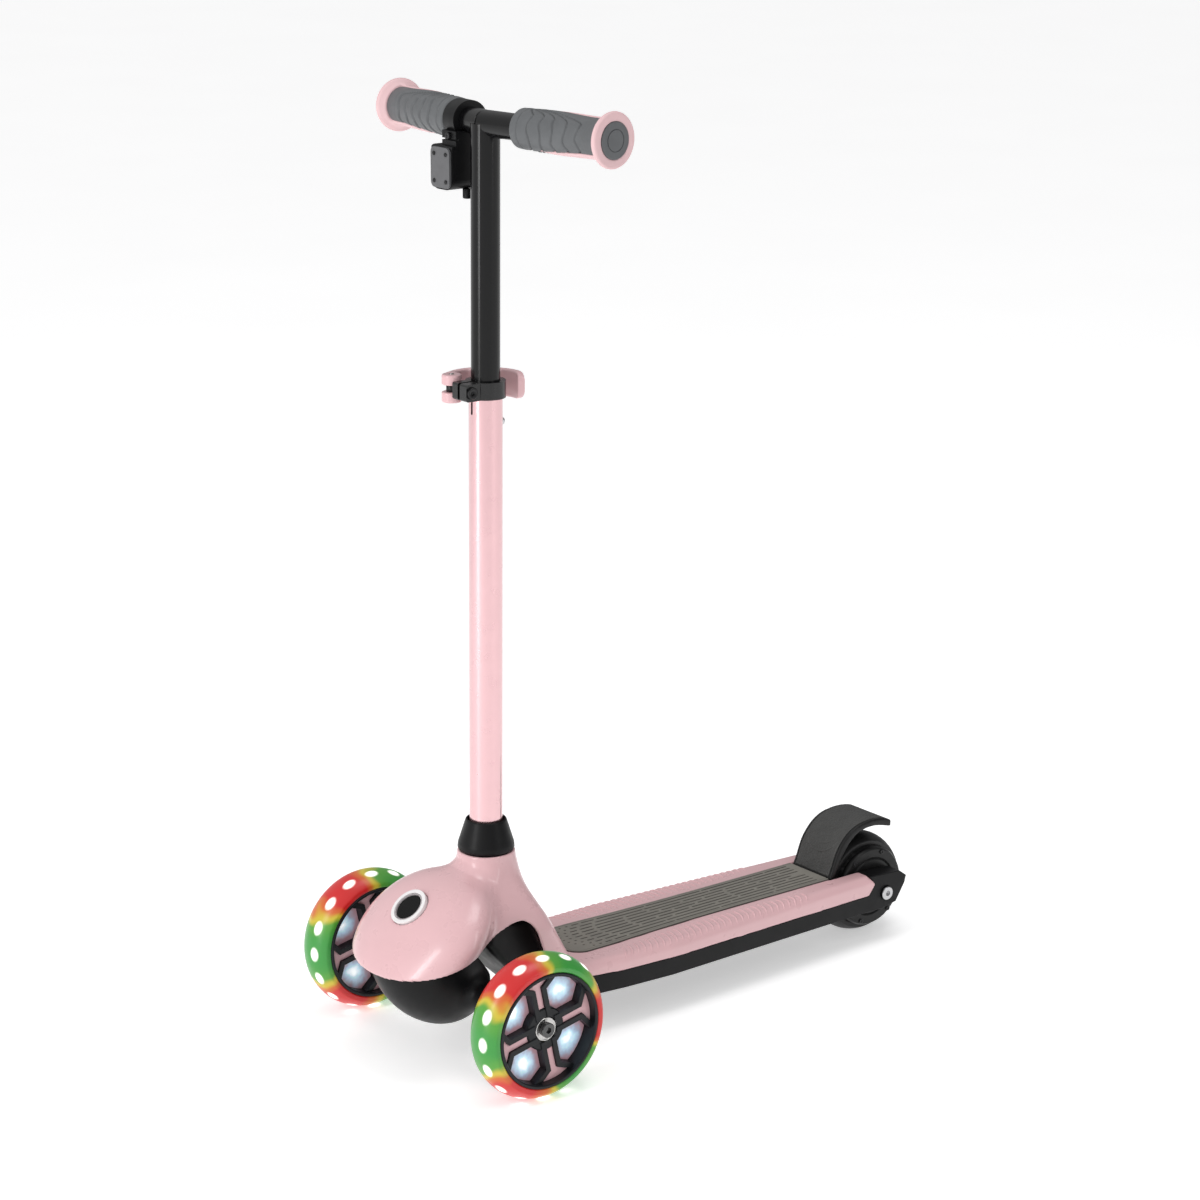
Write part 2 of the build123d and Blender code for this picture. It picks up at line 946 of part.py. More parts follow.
def unit_screws():
    """Four small screws in the flat cover."""
    screws = []
    for x in (unit_outer + 6.5, unit_inner - 6.5):
        for z in (unit_bottom + 7, unit_top - 7):
            head = Pos(x, unit_front - 2, z) * Rot(90, 0, 0) * socket_head(1.8, 0.7, 1.4)
            screws.append(head)
    return Compound(screws)


def pinch_screw():
    """Screw that tightens the clamp ring on the bar."""
    head = Rot(90, 0, 0) * socket_head(3, 2.2, 2.5)
    return Pos(stem_x, unit_front + 4, unit_top + 8) * head


def cable_gland():
    """Short round cable gland under the control unit."""
    gland = rod_z(4, unit_bottom - 8, unit_bottom)
    return Pos(unit_inner - 5.5, 48, 0) * fillet(gland.edges().group_by(Axis.Z)[0], 1.2)


def power_button_seat(grow):
    """Round pocket for the power button on the rider's side of the control unit."""
    seat = Rot(90, 0, 0) * Cylinder(power_button_radius + grow, 10)
    return Pos(unit_x, unit_back - 1 - grow, power_button_height) * seat


def power_button():
    """Round power button facing the rider."""
    button = Cylinder(power_button_radius, 4)
    button = Rot(-90, 0, 0) * fillet(button.edges().group_by(Axis.Z)[-1], 0.8)
    return Pos(unit_x, unit_back - 0.8, power_button_height) * button


# Height clamp

band_radius = 17.0
band_low = 370.4
band_high = 385.0
ear_y = -22.0
ear_out = 11.0
ear_far = 9.0
cam_centre = (-17.8, -22.0)
cam_radius = 8.4
lever_low = -12.2
lever_high = 12.2
clamp_bolt_radius = 2.5


def clamp_band():
    """Split band round the top of the lower tube, with two ears at the front."""
    band = rod_z(band_radius, band_low, band_high)
    ears = Box(ear_out + ear_far, 14, band_high - band_low)
    ears = Pos((ear_out - ear_far) / 2, ear_y + 1.5, clamp_height) * ears
    ears = fillet(ears.edges().filter_by(Axis.X).group_by(Axis.Y)[0], 2)
    clamp = band + ears
    clamp -= rod_z(lower_tube_radius, band_low - 5, lower_tube_top)
    clamp -= rod_z(upper_tube_radius + free_gap, band_low - 5, band_high + 5)
    clamp -= Pos(0, -25, clamp_height) * Box(3, 26, 40)
    bolt = Pos(0, ear_y, clamp_height) * rod_x(clamp_bolt_radius, -40, 40)
    head = Pos(0, ear_y, clamp_height) * rod_x(5.2, 9.5, 40)
    return column * (clamp - bolt - head)


def clamp_bolt():
    """Bolt through both ears, with a socket head and an eye for the lever pin."""
    head = Pos(9.5, 0, 0) * Rot(0, 90, 0) * socket_head(5, 4, 4)
    bolt = rod_x(clamp_bolt_radius, cam_centre[0], 9.5) + head
    eye = Pos(cam_centre[0], 0, 0) * rod_z(4.6, -2.65, 2.65)
    bolt += eye
    bolt -= Pos(cam_centre[0], 0, 0) * rod_z(2 + running_gap, -5, 5)
    return column * Pos(0, ear_y, clamp_height) * bolt


def lever_arc(inner, outer, low, high):
    """Curved band round the back of the column from the cam to the lever tip."""
    band = rod_z(outer, low, high, inner)
    wedge = [(0, 0), (-60, -47), (-90, 0), (-60, 70), (0, 90), (27, 80)]
    return band & plan_plate(wedge, low - 1, high + 1)


def clamp_lever():
    """Quick-release lever: forked cam at the front, curved handle round the back."""
    x, y = cam_centre
    lever = lever_arc(28, 34.5, lever_low, lever_high)
    lever += Pos(x, y, 0) * rod_z(cam_radius, lever_low, lever_high)
    gap = Pos(x, y, 0) * Box(40, 30, 6)
    gap += Pos(x - 4, y + 12, 0) * Box(24, 8, 6)
    lever -= gap
    tip = Plane.XZ * fillet(Rectangle(200, lever_high - lever_low).vertices(), 11)
    tip = Pos(12.3 - 100, 0, 0) * extrude(tip, 100, both=True)
    lever &= tip
    lever -= Pos(x, y, 0) * rod_z(2, -20, 20)
    return column * Pos(0, 0, clamp_height) * lever


def lever_pin():
    """Pin that joins the lever to the eye of the bolt."""
    x, y = cam_centre
    return column * Pos(x, y, clamp_height) * rod_z(2, lever_low, lever_high)


def grips(side):
    """Name and shape of the grip pieces on one end of the bar."""
    word = "left" if side > 0 else "right"
    start = left_grip_start if side > 0 else right_grip_start
    place = bar_half(side)
    return {
        f"{word}_grip": place * grip_rubber(start, side),
        f"{word}_grip_trim": place * grip_trim(side),
        f"{word}_grip_cap": place * grip_cap(),
    }


# Every node


def all_nodes():
    """Name and shape of every node."""
    nodes = {
        "chassis": chassis(),
        "steering_neck": steering_neck(),
        "deck_cover": deck_cover(),
        "grip_mat": grip_mat(),
        "deck_screws": deck_screws(),
        "nose_shell": nose_shell(),
        "nose_ring": nose_ring(),
        "nose_ring_inner": nose_ring_inner(),
        "lock_button": lock_button(),
        "pivot_pin": pivot_pin(),
        "pivot_nut": pivot_nut(),
        "truck": truck_body(),
        "front_axle": front_axle(),
        "front_wheel_bolts": front_wheel_bolts(),
        "collar": collar(),
        "lower_tube": lower_tube(),
        "clamp_band": clamp_band(),
        "clamp_bolt": clamp_bolt(),
        "clamp_lever": clamp_lever(),
        "lever_pin": lever_pin(),
        "snap_button": snap_button(),
        "upper_tube": upper_tube(),
        "handlebar": handlebar(),
        "control_unit": control_unit(),
        "unit_cover": unit_cover(),
        "unit_screws": unit_screws(),
        "pinch_screw": pinch_screw(),
        "cable_gland": cable_gland(),
        "power_button": power_button(),
        "brake_pedal": brake_pedal(),
        "brake_pin": brake_pin(),
        "rear_tyre": rear_tyre(),
        "rear_hub": rear_hub(),
        "rear_hub_covers": rear_hub_covers(),
        "rear_hub_screws": rear_hub_screws(),
        "rear_bearings": rear_bearings(),
        "rear_spacers": rear_spacers(),
        "rear_axle": rear_axle(),
        "rear_axle_bolts": rear_axle_bolts(),
    }
    for side in (1, -1):
        nodes.update(front_wheel_pieces(side))
        nodes.update(grips(side))
    return nodes


os.makedirs("parts", exist_ok=True)
for node, shape in all_nodes().items():
    save(node, shape)
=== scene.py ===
"""Looks of the three-wheeled kick scooter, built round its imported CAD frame.

Shapes are worked out in millimetres in the drawing frame of the CAD part, where the front axle is at
Y = 0 and the floor is LIFT below Z = 0, and written to meshes in metres in the row frame.
"""

import json
import math

import bmesh
import bpy
import numpy as np
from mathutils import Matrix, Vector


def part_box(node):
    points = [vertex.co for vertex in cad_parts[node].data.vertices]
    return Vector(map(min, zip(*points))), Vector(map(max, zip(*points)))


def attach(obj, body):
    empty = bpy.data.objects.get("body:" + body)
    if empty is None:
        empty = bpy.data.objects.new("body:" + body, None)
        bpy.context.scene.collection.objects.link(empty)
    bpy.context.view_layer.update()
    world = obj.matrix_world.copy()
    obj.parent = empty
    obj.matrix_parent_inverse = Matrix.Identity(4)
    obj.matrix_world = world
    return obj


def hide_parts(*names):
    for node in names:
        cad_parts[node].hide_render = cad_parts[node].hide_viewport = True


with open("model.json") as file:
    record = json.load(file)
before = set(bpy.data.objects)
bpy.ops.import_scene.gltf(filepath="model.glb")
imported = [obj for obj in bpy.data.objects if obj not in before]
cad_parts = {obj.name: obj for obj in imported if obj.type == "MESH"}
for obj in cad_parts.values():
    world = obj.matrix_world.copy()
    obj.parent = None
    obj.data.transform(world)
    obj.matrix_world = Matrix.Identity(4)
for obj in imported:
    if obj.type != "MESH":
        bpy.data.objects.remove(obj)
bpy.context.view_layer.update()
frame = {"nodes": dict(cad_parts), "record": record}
noise = np.random.default_rng(7)

MM = 0.001
TURN = 2 * math.pi
tyre_low, tyre_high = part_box("left_tyre")
AXLE_Y = (tyre_low.y + tyre_high.y) / 2 / MM
LIFT = 2.5
AXLE_Z = (tyre_low.z + tyre_high.z) / 2 / MM - LIFT
TRACK = (tyre_low.x + tyre_high.x) / 2 / MM

# Steering pivot and column, as in the CAD part
PIVOT_Y, PIVOT_Z = -42.0, 138.0
PIVOT_BORE = 5.05
PIVOT_SIN, PIVOT_COS = math.sin(math.radians(50)), math.cos(math.radians(50))
COLUMN_Y, COLUMN_Z = 40.4, 200.0
LEAN_SIN, LEAN_COS = math.sin(math.radians(0.6)), math.cos(math.radians(0.6))
SWEEP_SIN, SWEEP_COS = math.sin(math.radians(6.5)), math.cos(math.radians(6.5))
BAR_HEIGHT, CLAMP_HEIGHT = 597.5, 377.6
COVER_TOP = 65.8
SLOT_FRONT = 414.3


# ---------------------------------------------------------------- frames


def to_row(points):
    """Drawing frame in millimetres to row frame in metres."""
    return (np.asarray(points, float) + [0, AXLE_Y, LIFT]) * MM


def from_column(points):
    """Column frame, whose origin is the foot of the column, to drawing frame."""
    x, y, z = np.asarray(points, float).T
    return np.stack(
        [x, COLUMN_Y + y * LEAN_COS + z * LEAN_SIN, COLUMN_Z - y * LEAN_SIN + z * LEAN_COS], 1
    )


def from_bar(points, side):
    """Frame of one half of the bar (X outwards, Y back, Z up) to drawing frame."""
    x, y, z = np.asarray(points, float).T
    across = side * (x * SWEEP_COS - y * SWEEP_SIN)
    return from_column(np.stack([across, x * SWEEP_SIN + y * SWEEP_COS, z + BAR_HEIGHT], 1))


# ---------------------------------------------------------------- distance fields


class Grid:
    """Regular grid of points; x, y and z broadcast against each other."""

    def __init__(self, low, high, step):
        self.low = np.array(low, float)
        self.step = step
        axes = [a + step * np.arange(math.ceil((b - a) / step) + 1) for a, b in zip(low, high)]
        self.x = axes[0][:, None, None]
        self.y = axes[1][None, :, None]
        self.z = axes[2][None, None, :]

    def pivot(self):
        """Y and Z in the frame of the steering pivot."""
        back, up = self.y - PIVOT_Y, self.z - PIVOT_Z
        return PIVOT_SIN * back + PIVOT_COS * up, -PIVOT_COS * back + PIVOT_SIN * up


def round_and(a, b, radius):
    """Intersection of two fields with a rounded edge."""
    a, b = a + radius, b + radius
    outside = np.hypot(np.maximum(a, 0), np.maximum(b, 0))
    return np.minimum(np.maximum(a, b), 0) + outside - radius


def round_or(a, b, radius):
    """Union of two fields with a rounded inner corner."""
    return -round_and(-a, -b, radius)


def cut(a, b, radius=0.6):
    """Field a with b taken away."""
    return round_and(a, -b, radius)


def ellipsoid(x, y, z, radii):
    """Approximate distance to an ellipsoid round the origin."""
    near = np.sqrt((x / radii[0]) ** 2 + (y / radii[1]) ** 2 + (z / radii[2]) ** 2)
    slope = np.sqrt((x / radii[0] ** 2) ** 2 + (y / radii[1] ** 2) ** 2 + (z / radii[2] ** 2) ** 2)
    return near * (near - 1) / np.maximum(slope, 1e-6)


def outline(points, u, v):
    """Distance to a closed outline, negative inside; u and v broadcast to a plane."""
    u, v = np.broadcast_arrays(u, v)
    nearest = np.full(u.shape, 1e12)
    inside = np.zeros(u.shape, bool)
    for (u0, v0), (u1, v1) in zip(points, points[1:] + points[:1]):
        du, dv = u1 - u0, v1 - v0
        along = np.clip(((u - u0) * du + (v - v0) * dv) / (du * du + dv * dv + 1e-12), 0, 1)
        nearest = np.minimum(nearest, (u - u0 - du * along) ** 2 + (v - v0 - dv * along) ** 2)
        if v0 != v1:
            inside ^= ((v0 <= v) != (v1 <= v)) & (u < u0 + (v - v0) * du / dv)
    distance = np.sqrt(nearest)
    return np.where(inside, -distance, distance)


def curve_value(o, q, r, s, t):
    """Value between q and r at share t of the way; o and s are the values on either side."""
    square = (2 * o - 5 * q + 4 * r - s) * t * t
    cube = (3 * q - o - 3 * r + s) * t**3
    return 0.5 * (2 * q + (r - o) * t + square + cube)


def spline(points, steps=8):
    """Smooth open curve through the points."""
    p = [points[0]] + list(points) + [points[-1]]
    found = []
    for a, b, c, d in zip(p, p[1:], p[2:], p[3:]):
        for i in range(steps):
            found.append(tuple(curve_value(*values, i / steps) for values in zip(a, b, c, d)))
    return found + [tuple(points[-1])]


def mirrored(half):
    """Closed outline from its right half, top to bottom or front to back."""
    return list(half) + [(-x, other) for x, other in reversed(half)]


def corner_view(a, i, j, k):
    """Values of a grid array at corner i, j, k of every cell."""
    n = a.shape
    return a[i : n[0] - 1 + i, j : n[1] - 1 + j, k : n[2] - 1 + k]


def sample(field, grid, points):
    """Values of the field at points between the grid's own."""
    g = np.clip((points - grid.low) / grid.step, 0, np.array(field.shape) - 1.001)
    i = g.astype(int)
    t = g - i
    value = np.zeros(len(points))
    for corner in np.ndindex(2, 2, 2):
        weight = np.prod(np.where(corner, t, 1 - t), axis=1)
        value += weight * field[tuple((i + corner).T)]
    return value


def settle(verts, quads, field, grid, rounds=3):
    """Evens out the mesh and draws it back onto the zero surface of the field."""
    edges = np.concatenate([quads[:, [i, (i + 1) % 4]] for i in range(4)])
    degree = np.bincount(edges[:, 0], minlength=len(verts))[:, None]
    reach = 0.6 * grid.step
    for _ in range(rounds):
        sums = [np.bincount(edges[:, 0], verts[edges[:, 1], k], len(verts)) for k in range(3)]
        verts = 0.5 * verts + 0.5 * np.stack(sums, 1) / degree
        for _ in range(2):
            slope = np.empty_like(verts)
            for k in range(3):
                step = np.eye(3)[k] * reach
                slope[:, k] = sample(field, grid, verts + step) - sample(field, grid, verts - step)
            slope /= 2 * reach
            size = np.maximum((slope**2).sum(1), 0.15)
            move = np.clip(sample(field, grid, verts) / size, -grid.step, grid.step)
            verts = verts - move[:, None] * slope
    return verts


def surface(field, grid):
    """Vertices and quads of the zero surface of a field."""
    inside = field < 0
    filled = sum(corner_view(inside, *c).astype(np.int8) for c in np.ndindex(2, 2, 2))
    active = (filled > 0) & (filled < 8)
    index = np.full(active.shape, -1, np.int64)
    index[active] = np.arange(active.sum())
    cells = np.argwhere(active).astype(float)
    value = {c: corner_view(field, *c)[active] for c in np.ndindex(2, 2, 2)}
    total, count = np.zeros_like(cells), np.zeros(len(cells))
    for a in value:
        for axis in range(3):
            if a[axis]:
                continue
            b = tuple(1 if k == axis else a[k] for k in range(3))
            crossed = (value[a] < 0) != (value[b] < 0)
            t = value[a][crossed] / (value[a][crossed] - value[b][crossed])
            total[crossed] += np.array(a) + t[:, None] * np.eye(3)[axis]
            count[crossed] += 1
    verts = grid.low + (cells + total / count[:, None]) * grid.step
    quads = []
    for a in range(3):
        b, c = (a + 1) % 3, (a + 2) % 3
        before = tuple(slice(0, -1) if k == a else slice(None) for k in range(3))
        after = tuple(slice(1, None) if k == a else slice(None) for k in range(3))
        p = np.argwhere(inside[before] != inside[after])
        n = inside.shape
        p = p[(p[:, b] > 0) & (p[:, c] > 0) & (p[:, b] < n[b] - 1) & (p[:, c] < n[c] - 1)]
        eb, ec = np.eye(3, dtype=int)[b], np.eye(3, dtype=int)[c]
        quad = np.stack([index[tuple((p - s).T)] for s in (0 * eb, eb, eb + ec, ec)], 1)
        flip = ~inside[tuple(p.T)]
        quad[flip] = quad[flip][:, ::-1]
        quads.append(quad)
    quads = np.concatenate(quads)
    return settle(verts, quads, field, grid), quads


# ---------------------------------------------------------------- objects


def add_piece(name, verts, faces, body, material, stands_for=()):
    """Mesh object from drawing-frame points, riding on a CAD body."""
    mesh = bpy.data.meshes.new(name)
    mesh.from_pydata(to_row(verts).tolist(), [], [tuple(map(int, face)) for face in faces])
    mesh.polygons.foreach_set("use_smooth", np.ones(len(mesh.polygons), bool))
    mesh.update()
    piece = bpy.data.objects.new(name, mesh)
    bpy.context.scene.collection.objects.link(piece)
    mesh.materials.append(material)
    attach(piece, body)
    if stands_for:
        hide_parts(*stands_for)
    return piece


def grid_quads(rows, columns, wrap=False):
    """Quads of a rows by columns grid of vertices, closed round its columns if wrap."""
    i, j = np.meshgrid(np.arange(rows - 1), np.arange(columns if wrap else columns - 1), indexing="ij")
    k = (j + 1) % columns
    quads = np.stack([i * columns + j, i * columns + k, (i + 1) * columns + k, (i + 1) * columns + j], -1)
    return quads.reshape(-1, 4)


def rim_loop(rows, columns):
    """Indices round the border of a rows by columns grid of vertices."""
    loop = list(range(columns))
    loop += [i * columns + columns - 1 for i in range(1, rows)]
    loop += [(rows - 1) * columns + j for j in range(columns - 2, -1, -1)]
    loop += [i * columns for i in range(rows - 2, 0, -1)]
    return np.array(loop)


def smoothstep(low, high, x):
    """Smooth rise from 0 at low to 1 at high; low may be the larger."""
    t = np.clip((x - low) / (high - low), 0, 1)
    return t * t * (3 - 2 * t)


# ---------------------------------------------------------------- materials


def material_base(name):
    """New node material with a Principled shader."""
    made = bpy.data.materials.new(name)
    made.use_nodes = True
    tree = made.node_tree
    tree.nodes.clear()
    out = tree.nodes.new("ShaderNodeOutputMaterial")
    shader = tree.nodes.new("ShaderNodeBsdfPrincipled")
    tree.links.new(shader.outputs[0], out.inputs["Surface"])
    return made, tree, shader


def add_node(tree, kind, inputs=(), **settings):
    """Node with its settings and inputs; an input is a number, colour or another node's socket."""
    node = tree.nodes.new("ShaderNode" + kind)
    for key, value in settings.items():
        setattr(node, key, value)
    for key, value in dict(inputs).items():
        if isinstance(value, bpy.types.NodeSocket):
            tree.links.new(value, node.inputs[key])
        else:
            node.inputs[key].default_value = value
    return node


def noise_of(tree, size, detail=3.0):
    """Noise whose features are about size millimetres across."""
    where = add_node(tree, "TexCoord").outputs["Object"]
    inputs = {"Vector": where, "Scale": 1 / (size * MM), "Detail": detail, "Roughness": 0.55}
    return add_node(tree, "TexNoise", inputs).outputs["Fac"]


def ramp_of(tree, value, stops, interpolation="LINEAR"):
    """Colour ramp through (position, colour) stops."""
    node = add_node(tree, "ValToRGB", {"Fac": value})
    ramp = node.color_ramp
    ramp.interpolation = interpolation
    while len(ramp.elements) < len(stops):
        ramp.elements.new(0.5)
    for element, (position, colour) in zip(ramp.elements, stops):
        element.position = position
        element.color = (*colour, 1)
    return node.outputs["Color"]


def maths(tree, operation, a, b=0.0, c=0.0):
    """Result of a Math node on numbers or other nodes' sockets."""
    return add_node(tree, "Math", {0: a, 1: b, 2: c}, operation=operation).outputs[0]


def length_of(tree, a, b):
    """Length of a flat vector from its two parts."""
    squares = maths(tree, "ADD", maths(tree, "MULTIPLY", a, a), maths(tree, "MULTIPLY", b, b))
    return maths(tree, "SQRT", squares)


def spread(tree, value, low, high, from_low=0.0, from_high=1.0):
    """Map a value to low..high."""
    inputs = {"Value": value, "From Min": from_low, "From Max": from_high, "To Min": low, "To Max": high}
    return add_node(tree, "MapRange", inputs).outputs["Result"]


def tinted(colour, factor):
    """Colour made darker or lighter, held at full brightness."""
    return tuple(min(1.0, c * factor) for c in colour)


def surface_material(
    name,
    colour,
    rough,
    patch=25.0,
    shade=0.05,
    grain=0.9,
    depth=0.02,
    metallic=0.0,
    coat=0.0,
    coat_rough=0.1,
    specular=0.5,
    rough_range=0.05,
):
    """Moulded, painted or metal finish: uneven tone in patches, uneven gloss, fine surface grain."""
    made, tree, shader = material_base(name)
    tone = noise_of(tree, patch)
    stops = [(0.3, tinted(colour, 1 - shade)), (0.7, tinted(colour, 1 + shade))]
    tree.links.new(ramp_of(tree, tone, stops), shader.inputs["Base Color"])
    fine = noise_of(tree, grain, detail=2.0)
    gloss = spread(tree, noise_of(tree, patch * 0.4), rough - rough_range, rough + rough_range, 0.3, 0.7)
    tree.links.new(gloss, shader.inputs["Roughness"])
    bump = add_node(tree, "Bump", {"Height": fine, "Strength": 0.6, "Distance": depth * MM})
    tree.links.new(bump.outputs["Normal"], shader.inputs["Normal"])
    shader.inputs["Metallic"].default_value = metallic
    shader.inputs["Coat Weight"].default_value = coat
    shader.inputs["Coat Roughness"].default_value = coat_rough
    shader.inputs["Specular IOR Level"].default_value = specular
    return made


def wheel_angle(tree, side):
    """Angle round a front wheel's axle and distance from it, for points of that wheel."""
    where = add_node(tree, "TexCoord").outputs["Object"]
    axes = add_node(tree, "SeparateXYZ", {0: where})
    back = maths(tree, "SUBTRACT", axes.outputs["Y"], AXLE_Y * MM)
    up = maths(tree, "SUBTRACT", axes.outputs["Z"], (AXLE_Z + LIFT) * MM)
    across = maths(tree, "SUBTRACT", axes.outputs["X"], side * TRACK * MM)
    angle = maths(tree, "ARCTAN2", up, back)
    return angle, length_of(tree, up, back), across


LIGHTS = 16
LIGHT_LONG, LIGHT_WIDE = 4.3, 2.6
LIGHT_ASIDE, LIGHT_RADIUS = 7.5, 62.0
CROWN, CROWN_ARC = 63.5, 23.31


def tyre_material(side):
    """Clear cast tyre lit from inside: three red and three green zones, pale glow round each light."""
    made, tree, shader = material_base("tyre_left" if side > 0 else "tyre_right")
    angle, radius, across = wheel_angle(tree, side)
    patchy = spread(tree, noise_of(tree, 30.0, detail=1.0), -0.5, 0.5, 0.2, 0.8)
    turned = maths(tree, "ADD", maths(tree, "MULTIPLY", angle, 3.0), patchy)
    wave = spread(tree, maths(tree, "COSINE", turned), 0, 1, -1, 1)
    green, red = (0.030, 0.25, 0.035), (0.50, 0.012, 0.012)
    leaf, amber, orange = (0.07, 0.28, 0.03), (0.50, 0.40, 0.03), (0.52, 0.10, 0.014)
    stops = [(0.0, green), (0.34, leaf), (0.52, amber), (0.68, orange), (0.84, red)]
    zones = ramp_of(tree, wave, stops, "EASE")
    share = maths(tree, "MULTIPLY", angle, LIGHTS / TURN)
    offset = maths(tree, "SUBTRACT", maths(tree, "FRACT", maths(tree, "ADD", share, 100.5)), 0.5)
    along = maths(tree, "MULTIPLY", offset, TURN / LIGHTS * LIGHT_RADIUS / LIGHT_LONG)
    wide = maths(tree, "MULTIPLY", maths(tree, "SUBTRACT", across, LIGHT_ASIDE * MM), 1 / (LIGHT_WIDE * MM))
    distance = length_of(tree, along, wide)
    crown = spread(tree, radius, 0, 1, 0.0575, 0.0600)
    glow = maths(tree, "MULTIPLY", spread(tree, distance, 1, 0, 1.0, 1.75), crown)
    lit = add_node(tree, "Mix", {0: glow, 6: zones, 7: (1.0, 0.97, 0.9, 1)}, data_type="RGBA").outputs[2]
    tree.links.new(lit, shader.inputs["Base Color"])
    tree.links.new(lit, shader.inputs["Emission Color"])
    tree.links.new(spread(tree, glow, 0.22, 0.9), shader.inputs["Emission Strength"])
    tree.links.new(spread(tree, noise_of(tree, 8.0), 0.30, 0.42, 0.3, 0.7), shader.inputs["Roughness"])
    fine = noise_of(tree, 0.7, detail=2.0)
    bump = add_node(tree, "Bump", {"Height": fine, "Strength": 0.4, "Distance": 0.015 * MM})
    tree.links.new(bump.outputs["Normal"], shader.inputs["Normal"])
    shader.inputs["Coat Weight"].default_value = 0.15
    shader.inputs["Coat Roughness"].default_value = 0.2
    return made


def light_material():
    """Face of a lit diode behind the tyre's skin: white, a little warmer to its rim."""
    made, tree, shader = material_base("tyre_lights")
    tone = noise_of(tree, 2.0, detail=1.0)
    colour = ramp_of(tree, tone, [(0.3, (1.0, 0.97, 0.92)), (0.7, (0.96, 0.98, 1.0))])
    tree.links.new(colour, shader.inputs["Base Color"])
    tree.links.new(colour, shader.inputs["Emission Color"])
    shader.inputs["Emission Strength"].default_value = 1.1
    shader.inputs["Roughness"].default_value = 0.35
    return made


PANES, PANE_TURN = 4, math.radians(57)
PANE_MIDDLE, PANE_REACH = 34.5, 11.5
PANE_ARC_RADIUS, PANE_ASIDE = 33.0, 13.0


def pane_material(side):
    """Clear pane over the wheel's pink inside, with a pale blue light in the middle of each."""
    made, tree, shader = material_base("pane_left" if side > 0 else "pane_right")
    angle, radius, across = wheel_angle(tree, side)
    fold = maths(tree, "SUBTRACT", angle, PANE_TURN)
    share = maths(tree, "ADD", maths(tree, "MULTIPLY", fold, PANES / TURN), 100.5)
    offset = maths(tree, "SUBTRACT", maths(tree, "FRACT", share), 0.5)
    along = maths(tree, "MULTIPLY", offset, TURN / PANES * PANE_ARC_RADIUS / PANE_ASIDE)
    out = maths(tree, "MULTIPLY", maths(tree, "SUBTRACT", radius, PANE_MIDDLE * MM), 1 / (PANE_REACH * MM))
    distance = length_of(tree, along, out)
    streak = spread(tree, noise_of(tree, 9.0, detail=2.0), -0.25, 0.25, 0.25, 0.75)
    glow = spread(tree, maths(tree, "ADD", distance, streak), 1, 0, 0.15, 1.25)
    pink, slate, sky, white = (0.66, 0.40, 0.46), (0.44, 0.52, 0.66), (0.52, 0.74, 0.88), (0.95, 0.99, 1.0)
    colour = ramp_of(tree, glow, [(0.0, pink), (0.32, slate), (0.7, sky), (1.0, white)])
    tree.links.new(colour, shader.inputs["Base Color"])
    tree.links.new(colour, shader.inputs["Emission Color"])
    tree.links.new(spread(tree, glow, 0.08, 0.6), shader.inputs["Emission Strength"])
    tree.links.new(spread(tree, noise_of(tree, 12.0), 0.12, 0.2, 0.3, 0.7), shader.inputs["Roughness"])
    shader.inputs["Coat Weight"].default_value = 0.5
    return made


def hatched_rubber(name, colour):
    """Rubber with fine ribs along the deck, with painted shade darkening the sunk pattern."""
    made, tree, shader = material_base(name)
    tone = noise_of(tree, 18.0)
    stops = [(0.3, tinted(colour, 0.92)), (0.7, tinted(colour, 1.08))]
    where = add_node(tree, "TexCoord").outputs["Object"]
    axes = add_node(tree, "SeparateXYZ", {0: where})
    top = (COVER_TOP + LIFT + 1.0) * MM
    # Painted shade: the sunk grooves of the mat pattern are darkened to 30% of the rubber colour.
    painted_groove_shade = spread(tree, axes.outputs["Z"], 1, 0, top - 0.55 * MM, top - 0.15 * MM)
    dark = (*tinted(colour, 0.30), 1)
    plain = ramp_of(tree, tone, stops)
    shaded = add_node(tree, "Mix", {0: painted_groove_shade, 6: plain, 7: dark}, data_type="RGBA").outputs[2]
    tree.links.new(shaded, shader.inputs["Base Color"])
    across = axes.outputs["X"]
    ribs = maths(tree, "SINE", maths(tree, "MULTIPLY", across, TURN / (1.1 * MM)))
    height = maths(tree, "MULTIPLY_ADD", ribs, 0.3, noise_of(tree, 0.6, detail=2.0))
    bump = add_node(tree, "Bump", {"Height": height, "Strength": 0.7, "Distance": 0.12 * MM})
    tree.links.new(bump.outputs["Normal"], shader.inputs["Normal"])
    tree.links.new(spread(tree, tone, 0.6, 0.75, 0.3, 0.7), shader.inputs["Roughness"])
    shader.inputs["Specular IOR Level"].default_value = 0.35
    return made


